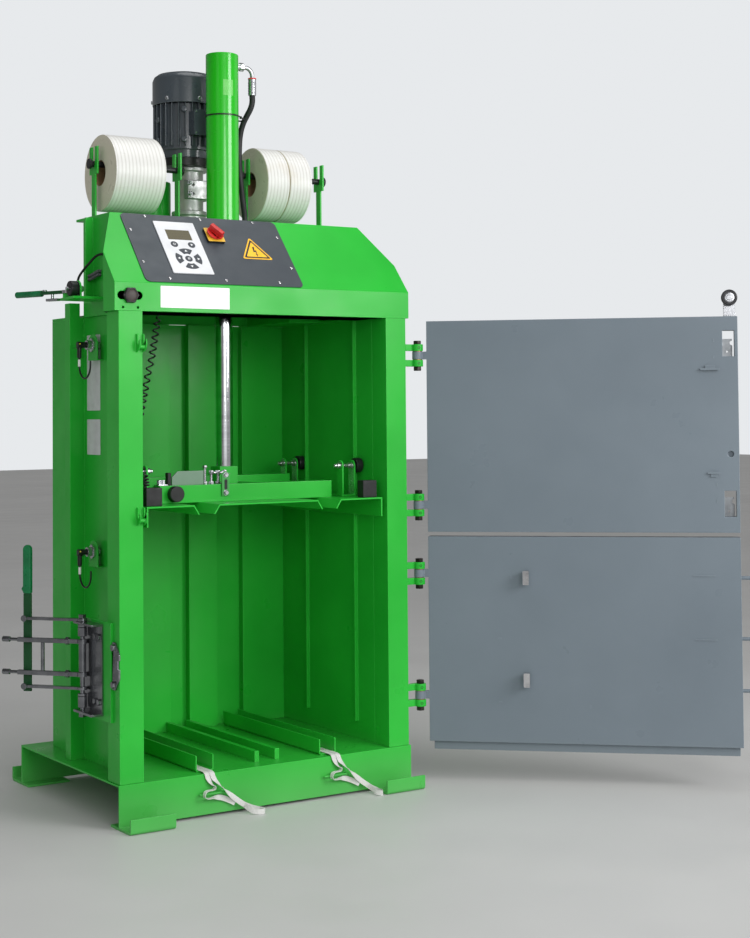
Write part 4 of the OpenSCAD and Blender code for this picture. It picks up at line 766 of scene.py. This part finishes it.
sign_base = flat_shape("warning_sign_ground", [rounded(triangle, 0.006)], 0.0005, sign, sign_yellow)
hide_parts("label_plates")
on_sign = sign @ at(0, 0, 0.0005)
flat_shape("warning_sign_border", [rounded(shrunk(triangle, 0.86), 0.004),
                                   rounded(shrunk(triangle, 0.68), 0.002)[::-1]], 0.0002, on_sign, sign_black)
stroke = [(-0.003, 0.056), (0.0035, 0.056), (0.0000, 0.0385), (0.0065, 0.0405), (0.004, 0.0215),
          (0.0072, 0.0225), (0.002, 0.0115), (-0.001, 0.024), (0.0016, 0.0232), (0.0014, 0.0335),
          (-0.0062, 0.031)]
flat_shape("warning_sign_stroke", [stroke], 0.0002, on_sign, sign_black)

# The hydraulic cylinder is a honed tube welded shut at its top and flanged to the head's cross
# beams. A nylon tie holds the hose to it, and a small clear label sits high on its front.
gloss_green = powder_coat("gloss_green_enamel", (16, 174, 4), (24, 188, 8), 0.2)
eased("cylinder_tube", "cylinder_barrel", 0.0035, gloss_green)
nylon_black = moulded_black("nylon_black", 0.36)
tube_middle, tube_r = Vector((0.0, -0.071)), 0.0546
hose_middle, hose_r = Vector((0.098, -0.036)), 0.0106
along = hose_middle - tube_middle
swing = math.acos((tube_r - hose_r) / along.length)
start = math.atan2(along.y, along.x)
tie_height, tie_width, tie_thick, tie_steps = 2.2066, 0.0048, 0.0014, 24


def tie_loop(grown):
    """The outline of a band pulled tight round the tube and the hose, grown by its thickness."""
    loop = []
    for middle_point, radius, first, last in (
            (tube_middle, tube_r, start + swing, start + 2 * math.pi - swing),
            (hose_middle, hose_r, start - swing, start + swing)):
        for k in range(tie_steps + 1):
            angle = first + (last - first) * k / tie_steps
            loop.append(tuple(middle_point + Vector((math.cos(angle), math.sin(angle))) * (radius + grown)))
    return loop


flat_shape("cable_tie_band", [tie_loop(tie_thick), tie_loop(0.0)[::-1]], tie_width,
           at(0, 0, tie_height), nylon_black)
turned("cable_tie_head", ((0.004, 0.0), (0.0046, 0.0006), (0.0046, 0.0064), (0.004, 0.007)),
       facing((0.052, -0.096, 2.209), (0.7, -0.7, 0)), nylon_black, "frame", 4)
clear_selection()
bpy.ops.mesh.primitive_grid_add(x_subdivisions=14, y_subdivisions=6, size=1.0)
clear_label = bpy.context.object
clear_label.name = "clear_label_film"
label_r, label_bearing, label_sweep, label_middle, label_high = 0.0543, -96, 38, 2.3, 0.052
for corner in clear_label.data.vertices:
    angle = math.radians(label_bearing + label_sweep * corner.co.x)
    corner.co = (tube_middle.x + label_r * math.cos(angle), tube_middle.y + label_r * math.sin(angle),
                 label_middle + label_high * corner.co.y)
label_green = coloured_plastic("clear_label_film", (96, 196, 84), (112, 206, 100), 0.26)
settled(clear_label, Matrix.Identity(4), label_green, "frame")

# The piston rod is hard chromed and ground. The union, the bent tube and the crimped ferrule at
# the cylinder's top are zinc plated; a red dust ring sits above the ferrule.
hard_chrome, chrome_shader = new_finish("hard_chrome", 0.08, 1.0)
clouded(hard_chrome, chrome_shader, (214, 216, 220), (238, 240, 243), 40.0, 3.0, stretch=(0.1, 0.1, 1.0))
rough_by(hard_chrome, chrome_shader, grain(hard_chrome, 160.0, 3.0, (0.1, 0.1, 1.0)), 0.05, 0.12)
eased("piston_rod_chromed", "piston_rod", 0.001, hard_chrome, "ram")
zinc = bright_metal("zinc_plate", (186, 188, 192), (206, 208, 212), 0.24)
eased("hose_union_and_ferrule", "hose_fitting", 0.0012, zinc)
dust_red = coloured_plastic("dust_ring_red", (196, 30, 32), (214, 44, 44), 0.4)
ferrule_x, ferrule_y = hose_route[0][:2]
ring_height, crimp_height, crimp_step = 2.3462, 2.2965, 0.0086
turned("ferrule_dust_ring", ((0.01, 0.0), (0.0138, 0.0006), (0.0138, 0.0044), (0.01, 0.005)),
       facing((ferrule_x, ferrule_y, ring_height), (0, 0, 1)), dust_red, "frame", 28)
crimps = [turned("crimp", ((0.0132, 0.0), (0.0137, 0.0012), (0.0137, 0.004), (0.0132, 0.0052)),
                 facing((ferrule_x, ferrule_y, crimp_height + crimp_step * k), (0, 0, 1)), zinc, None, 28)
          for k in range(5)]
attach(joined("ferrule_crimps", crimps), "frame")

# The motor is a finned cast casing under a pressed steel fan cowl, painted slate grey, with a
# terminal box on its front. A black rubber-lined flange joins it to the pump.
motor_slate = powder_coat("motor_slate_paint", (62, 70, 76), (72, 80, 87), 0.3)
for enamel in (gloss_green, motor_slate):
    glossy = enamel.node_tree.nodes["Principled BSDF"]
    glossy.inputs["Specular IOR Level"].default_value = 0.5
    glossy.inputs["Coat Weight"].default_value = 0.5
    glossy.inputs["Coat Roughness"].default_value = 0.05
motor = eased("motor_casing_and_cowl", "motor_body", 0.0018, motor_slate)
flange_top = 2.0925
repaint(motor, black_plastic, lambda c: c.z < flange_top)
eased("motor_fan_moulding", "motor_fan", 0.0006, black_plastic, "motor_fan")
motor_middle = Vector((-0.024, 0.154, 0.0))
cowl_r, cowl_bolt_height, casing_r = 0.1093, 2.29, 0.106


def hex_bolt(name, across, height, place, finish):
    """A hexagon bolt head with a chamfered top on its washer."""
    r = across / math.sqrt(3)
    parts = [turned(name, ((r, 0.0), (r, height * 0.82), (r * 0.86, height), (r * 0.3, height)),
                    place, finish, None, 6, 20.0),
             turned(name + "_washer", ((r * 1.16, -0.0012), (r * 1.22, -0.0008), (r * 1.22, 0.0),
                                       (r * 1.16, 0.0003)), place, finish, None, 24)]
    return joined(name, parts)


def out_at(angle):
    return Vector((math.cos(math.radians(angle)), math.sin(math.radians(angle)), 0))


motor_bolts = []
for angle in range(-150, 200, 60):
    bolt_place = motor_middle + out_at(angle) * cowl_r + Vector((0, 0, cowl_bolt_height))
    motor_bolts.append(hex_bolt("cowl_bolt", 0.01, 0.0045, facing(bolt_place, out_at(angle)), zinc))
boss_rings = ((0.01, -0.012), (0.01, 0.0), (0.0085, 0.0025), (0.005, 0.003), (0.0045, 0.0012))
for angle, heights in ((-62, (2.138, 2.166, 2.198, 2.228, 2.258)), (-118, (2.15, 2.252)),
                       (-176, (2.15, 2.22))):
    for height in heights:
        boss_place = motor_middle + out_at(angle) * casing_r + Vector((0, 0, height))
        motor_bolts.append(turned("casing_boss", boss_rings, facing(boss_place, out_at(angle)),
                                  motor_slate, None, 20))
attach(joined("motor_bolts_and_bosses", motor_bolts), "frame")
box_front = at(motor_middle.x, 0.031, 2.204) @ tipped(90, "X")
lid_thick = 0.005
flat_shape("terminal_box_lid", [plate_outline(-0.03, -0.043, 0.03, 0.043, 0.006)],
           lid_thick, box_front, motor_slate)
lid_bolts = [turned("lid_screw", ((0.0036, 0.0), (0.0036, 0.002), (0.0026, 0.0028), (0.0012, 0.003)),
                    box_front @ at(x, y, lid_thick), zinc, None, 16)
             for x in (-0.023, 0.023) for y in (-0.036, 0.036)]
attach(joined("terminal_box_screws", lid_bolts), "frame")

# The pump and its bell housing are sand-cast aluminium with machined joints; the oil tank is a
# green painted steel tube with a black filler cap.
cast_aluminium = grained("cast_aluminium", (176, 178, 178), (214, 215, 214), 0.42, 0.75, clouds=(12.0, 6.0),
                         gloss=(40.0, 4.0, 0.3, 0.55), skin=(520.0, 3.0, 0.0005, 0.6))
eased("pump_casting", "pump_housing", 0.003, cast_aluminium)
eased("oil_tank_tube", "oil_tank", 0.006, green_coat)
turned("oil_filler_cap", ((0.018, 0.0), (0.024, 0.001), (0.024, 0.014), (0.02, 0.02), (0.008, 0.022)),
       facing((-0.102, 0.24, 2.021), (0, 0, 1)), black_plastic, "frame", 24)
pump_face_y = 0.092
pump_bolts = [hex_bolt("pump_bolt", 0.013, 0.008, facing((x, pump_face_y, z), (0, -1, 0)), zinc)
              for z in (1.972, 2.008) for x in (-0.036, 0.052)]
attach(joined("pump_bolts", pump_bolts), "frame")

# The strap rolls stand above the head on two round rods, in green fork-shaped stands. Each roll is
# polyester tape wound cross-wise on a cardboard core.
eased("roll_fork_stands", "roll_stands", 0.0012, green_coat)
eased("roll_rods_and_knobs", "roll_rods", 0.0016, black_plastic)
wound, wound_shader = new_finish("wound_strap", 0.42)
wound_shader.inputs["Sheen Weight"].default_value = 0.15
roll_axis_y, roll_axis_z = 0.039, 2.009
wound_place = add_node(wound, "TexCoord")
wound_centred = add_node(wound, "Mapping", Location=(0, -roll_axis_y, -roll_axis_z))
link(wound, wound_place.outputs["Object"], wound_centred.inputs["Vector"])
turns_seen = add_node(wound, "TexWave", Scale=24.6, Distortion=0.6, Detail=1.0, bands_direction="X")
layers_seen = add_node(wound, "TexWave", Scale=72.0, Distortion=2.2, Detail=2.0, wave_type="RINGS",
                       rings_direction="X")
link(wound, wound_centred.outputs["Vector"], turns_seen.inputs["Vector"])
link(wound, wound_centred.outputs["Vector"], layers_seen.inputs["Vector"])
wound_normal = add_node(wound, "NewGeometry")
wound_axes = add_node(wound, "SeparateXYZ")
wound_side = add_node(wound, "Math", operation="ABSOLUTE")
link(wound, wound_normal.outputs["Normal"], wound_axes.inputs["Vector"])
link(wound, wound_axes.outputs["X"], wound_side.inputs[0])
end_face = shade(wound, wound_side.outputs[0], ((0.45, grey(0.0)), (0.6, grey(1.0))))
band_tone = shade(wound, turns_seen.outputs["Fac"],
                  ((0.0, srgb(200, 199, 194)), (0.2, srgb(216, 215, 211)), (1.0, srgb(224, 224, 221))))
face_tone = shade(wound, layers_seen.outputs["Fac"], ((0.0, srgb(196, 190, 168)), (1.0, srgb(232, 226, 206))))
stained = mixed(wound, shade(wound, grain(wound, 9.0, 4.0), ((0.62, grey(0.0)), (0.8, grey(0.35)))),
                mixed(wound, end_face, band_tone, face_tone), srgb(198, 184, 150))
link(wound, stained, wound_shader.inputs["Base Color"])
wound_height = add_node(wound, "Mix", data_type="FLOAT")
link(wound, end_face, wound_height.inputs[0])
link(wound, turns_seen.outputs["Fac"], wound_height.inputs[2])
link(wound, layers_seen.outputs["Fac"], wound_height.inputs[3])
relief(wound, wound_shader, wound_height.outputs[0], 0.0006, 0.6)
rough_by(wound, wound_shader, grain(wound, 30.0, 3.0, (0.2, 1.0, 1.0)), 0.24, 0.45)
cardboard, cardboard_shader = new_finish("core_cardboard", 0.8)
clouded(cardboard, cardboard_shader, (140, 108, 78), (176, 140, 104), 60.0, 4.0, stretch=(1.0, 0.2, 0.2))
relief(cardboard, cardboard_shader, grain(cardboard, 500.0, 2.0), 0.0002)
core_r = 0.0448
for roll_name in ("strap_roll_left", "strap_roll_middle", "strap_roll_right"):
    roll = eased(roll_name + "_wound", roll_name, 0.004, wound, roll_name, 50.0)
    roll.data.materials.append(cardboard)
    out_from_axis = [math.hypot(v.co.y - roll_axis_y, v.co.z - roll_axis_z) for v in roll.data.vertices]
    for face in roll.data.polygons:
        face.material_index = int(max(out_from_axis[k] for k in face.vertices) < core_r)

# The doors hang on four heavy hinges: green ears welded to the right post, bronze washers, and
# black pins with hexagon ends, each held by a grub screw.
hinge_x, hinge_y = 0.566, -0.378
hinge_heights = (1.415, 0.918, 0.692, 0.291)
eased("hinge_ears", "hinge_brackets", 0.0016, green_coat)
black_steel = bright_metal("blackened_steel", (40, 36, 35), (74, 68, 65), 0.34, 0.8)
eased("hinge_pins_and_nuts", "hinge_pins", 0.0014, black_steel)
bronze = bright_metal("bronze", (172, 122, 76), (206, 160, 112), 0.34)
washer_rings = ((0.0155, 0.0), (0.016, 0.0003), (0.016, 0.0015), (0.0155, 0.0018))
grub_rings = ((0.0042, -0.002), (0.0042, 0.0004), (0.003, 0.0004), (0.0026, -0.001))
ear_r, grub_lift = 0.019, 0.026
away = Vector((-0.3, -0.954, 0.0))
washers, grub_screws = [], []
for height in hinge_heights:
    for low in (height + 0.0131, height - 0.0149):
        washers.append(turned("hinge_washer", washer_rings, at(hinge_x, hinge_y, low),
                              bronze, None, 28))
    for lift in (grub_lift, -grub_lift):
        on_ear = Vector((hinge_x, hinge_y, height + lift)) + away * ear_r
        grub_screws.append(turned("grub_screw", grub_rings, facing(on_ear, away), black_steel, None, 14))
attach(joined("hinge_washers", washers), "frame")
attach(joined("hinge_grub_screws", grub_screws), "frame")

# Each door is a flat box of folded sheet, coated graphite grey. The upper one has two windows near
# its free edge, with a hooked plate in each that grips a catch, and small marks of the welds.
graphite_coat = powder_coat("graphite_powder_coat", (110, 121, 130), (117, 128, 137), 0.34)
eased("upper_door_leaf", "upper_door", 0.0018, graphite_coat, "upper_door")
eased("lower_door_leaf", "lower_door", 0.0018, graphite_coat, "lower_door")
door_opening = 137
swung = at(hinge_x, hinge_y, 0) @ tipped(door_opening, "Z")
inner_face = swung @ at(0, -0.002, 0) @ Matrix(((-1, 0, 0), (0, 0, 1), (0, 1, 0))).to_4x4()


def oblong(s, z, wide, high, corner):
    """A rounded rectangle on a door's inner face, by its middle, width and height."""
    return plate_outline(s - wide / 2, z - high / 2, s + wide / 2, z + high / 2, corner)


def on_door(name, outlines, thick, body, sunk=0.0, finish=graphite_coat):
    return flat_shape(name, outlines, thick, inner_face @ at(0, 0, -sunk), finish, body)


zinc_plate = bright_metal("dull_zinc", (150, 154, 158), (190, 194, 198), 0.42)
for name, z, tall in (("upper", 1.441, 0.058), ("lower", 0.922, 0.062)):
    low = z - 0.042
    notch = [(0.999, low), (1.031, low), (1.031, low + tall * 0.62), (1.023, low + tall * 0.7),
             (1.023, low + tall * 0.84), (1.03, low + tall * 0.9), (1.03, low + tall),
             (0.999, low + tall)]
    on_door(name + "_window_hook_plate", [notch, oblong(1.014, low + 0.016, 0.006, 0.006, 0.0028)[::-1]],
            0.003, "upper_door", 0.04, zinc_plate)
door_welds = {
    "upper_door": ((0.957, 1.358, 0.062, 0.007, 0.006), (0.957, 1.366, 0.03, 0.01, 0.004),
                   (0.966, 1.022, 0.04, 0.006, 0.005), (0.966, 1.014, 0.022, 0.01, 0.003),
                   (0.97, 1.451, 0.0035, 0.01, 0.0008), (0.97, 1.397, 0.0035, 0.01, 0.0008),
                   (0.975, 0.983, 0.0035, 0.01, 0.0008), (0.975, 0.931, 0.0035, 0.01, 0.0008)),
    "lower_door": ((0.305, 0.681, 0.008, 0.009, 0.0008), (0.266, 0.48, 0.012, 0.004, 0.0008),
                   (0.266, 0.272, 0.012, 0.004, 0.0008), (0.93, 0.69, 0.07, 0.004, 0.0014),
                   (0.934, 0.484, 0.07, 0.004, 0.0014), (0.56, 0.262, 0.004, 0.01, 0.0008))}
for door, welds in door_welds.items():
    for number, (s, z, wide, high, thick) in enumerate(welds):
        bead = oblong(s, z, wide, high, min(wide, high) * 0.45)
        on_door("%s_weld_%d" % (door, number), [bead], thick, door)
pads = [flat_shape("door_pad", [oblong(0.355, z, 0.02, 0.046, 0.004)], 0.022, inner_face, stainless, None)
        for z in (0.681, 0.348)]
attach(joined("lower_door_polished_pads", pads), "lower_door")
off_door = inner_face.to_3x3() @ Vector((0, 0, 1))
turned("upper_door_hole_bolt", ((0.0075, 0.0), (0.0075, 0.003), (0.006, 0.0042), (0.003, 0.0044),
                                (0.0028, 0.0024)),
       facing(inner_face @ Vector((1.02, 1.081, -0.03)), off_door), black_steel, "upper_door", 20)

# A roller stands on the upper door's top corner, on a plated bracket. It carries the door into
# line with the hood when it shuts.
eased("door_roller_stand", "door_roller_bracket", 0.001, zinc, "upper_door")
wheel_black = moulded_black("wheel_plastic", 0.36, (26, 26, 30))
eased("door_roller_wheel", "door_roller", 0.003, wheel_black, "door_roller")
turned("door_roller_hub_ring", ((0.0145, 0.0), (0.016, 0.0006), (0.016, 0.0012), (0.013, 0.0016),
                                (0.0126, 0.0004)),
       facing(swung @ Vector((-1.023, -0.018, 1.591)), off_door), zinc, "door_roller", 28)

# The left side carries welded green brackets: a backing for the lower latch, a shelf for the upper
# latch and two round-topped holders for the door switches.
brackets = eased("left_side_brackets", "side_brackets", 0.0012, green_coat)
shelf_bolt_y, shelf_bolt_z, shelf_bolt_r, shelf_face_x = -0.121, 1.618, 0.0106, -0.52
repaint(brackets, zinc, lambda c: c.x < shelf_face_x
        and math.hypot(c.y - shelf_bolt_y, c.z - shelf_bolt_z) < shelf_bolt_r)

# The lower latch is zinc plated: a folded bracket, a long handle on two links with a green sleeve,
# and a pair of hooks on the same pin that draw the lower door's rods tight.
grip_green = coloured_plastic("grip_sleeve_green", (8, 104, 58), (18, 124, 72), 0.3)
bar_green = powder_coat("bar_dark_green", (16, 66, 34), (26, 82, 44), 0.34)
latch_zinc = bright_metal("latch_zinc", (122, 124, 128), (148, 150, 154), 0.2)
latch_pin = at(-0.55, -0.176, 0)
handle_stand = latch_pin @ tipped(130, "Z")
eased("latch_bracket_plated", "latch_bracket", 0.0012, latch_zinc)
handle = eased("latch_handle_links", "latch_handle", 0.001, latch_zinc, "latch_handle")
from_handle = handle_stand.inverted()
bar_back, bar_front, bar_middle, bar_half = -0.0176, -0.0088, 0.192, 0.0136
repaint(handle, bar_green, lambda c: bar_back < (from_handle @ c).y < bar_front
        and abs((from_handle @ c).x - bar_middle) < bar_half)
eased("latch_grip_sleeve", "latch_grip", 0.0045, grip_green, "latch_handle", 50.0)
eased("latch_hooks_pair", "latch_hooks", 0.0012, latch_zinc, "latch_hooks")
sleeves = [turned("pin_sleeve", ((0.0125, low), (0.0138, low + 0.0012), (0.0138, high - 0.0012),
                                 (0.0125, high)), latch_pin, latch_zinc, None, 6, 20.0)
           for low, high in ((0.336, 0.37), (0.3705, 0.379), (0.552, 0.579), (0.5795, 0.588))]
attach(joined("latch_pin_sleeves", sleeves), "latch_handle")

# The upper latch is a flat green lever with a round grip. It turns on a small bolt beside the
# black roller that guides the upper door's edge.
arm = eased("top_latch_lever", "top_latch_arm", 0.001, zinc, "top_latch_arm")
arm_stand = at(-0.554, -0.071, 0) @ tipped(112, "Z")
from_arm = arm_stand.inverted()
grip_start, arm_half, arm_low, arm_high = 0.1075, 0.0082, 1.6058, 1.6166
repaint(arm, bar_green, lambda c: abs((from_arm @ c).y) < arm_half and arm_low < c.z < arm_high
        and (from_arm @ c).x < grip_start)
repaint(arm, grip_green, lambda c: (from_arm @ c).x > grip_start)
eased("top_latch_roller", "top_latch_wheel", 0.0035, wheel_black, "top_latch_wheel")

# Two inductive switches watch the doors: threaded plated barrels held by two thin nuts, with a
# black angled plug and its yellow signal lamp.
switches = eased("door_switch_barrels", "door_sensors", 0.001, zinc)
plug_start = -0.489
repaint(switches, black_plastic, lambda c: c.x < plug_start)
lamp_yellow = coloured_plastic("signal_lamp_yellow", (226, 214, 40), (240, 230, 70), 0.25)
lamps = [turned("signal_lamp", ((0.0022, -0.001), (0.0022, 0.0006), (0.0012, 0.0014)),
                facing((-0.514, -0.0806, height + 0.003), (-0.2, -1, 0.2)), lamp_yellow, None, 14)
         for height in switch_heights]
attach(joined("switch_signal_lamps", lamps), "frame")

# The press plate is folded sheet with two strap slots, under two box beams. It runs on four
# black rollers along the guide bars and hangs on the piston rod.
eased("press_plate_folded", "press_plate", 0.0012, green_coat, "ram")
beams = eased("press_beams_welded", "press_beams", 0.0016, green_coat, "ram")
roller_lines = ((-0.2193, 1.05), (0.1523, 1.05))
bracket_face, roller_pin_r = 0.333, 0.0107
repaint(beams, zinc, lambda c: abs(c.x) > bracket_face
        and min(math.hypot(c.y - y, c.z - z) for y, z in roller_lines) < roller_pin_r)
fittings = eased("press_plate_fittings", "press_fittings", 0.001, zinc, "ram")
tongue_green = powder_coat("tongue_green", (62, 150, 74), (84, 172, 92), 0.36)
lever_grey = powder_coat("lever_grey_green", (104, 132, 112), (132, 158, 138), 0.36)
tongue_left, tongue_right, tongue_back = -0.101, -0.071, -0.2349
lever_left, lever_right, lever_low = -0.266, -0.153, 1.0032
repaint(fittings, tongue_green, lambda c: tongue_left < c.x < tongue_right and c.y < tongue_back)
repaint(fittings, lever_grey, lambda c: lever_left < c.x < lever_right and c.z > lever_low)
buffer_rubber = moulded_black("buffer_rubber", 0.55, (24, 24, 26))
eased("press_plate_buffers", "press_buffers", 0.003, buffer_rubber, "ram")
for corner_name in ("front_left", "rear_left", "front_right", "rear_right"):
    roller_name = "guide_roller_" + corner_name
    eased(roller_name + "_tread", roller_name, 0.0022, wheel_black, roller_name)
tongue_front = at(-0.086, -0.241, 1.0) @ tipped(90, "X")
# A thin black patch on the tongue's front, between its two bolts, is painted shade where the slot is.
flat_shape("tongue_slot_painted_shade", [plate_outline(-0.005, -0.014, 0.005, 0.018, 0.0045)],
           0.0006, tongue_front, buffer_rubber, "ram")
tongue_bolts = [hex_bolt("tongue_bolt", 0.013, 0.007, tongue_front @ at(0, up, 0), zinc)
                for up in (0.032, -0.024)]
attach(joined("press_plate_bolts", tongue_bolts), "ram")

clear_selection()
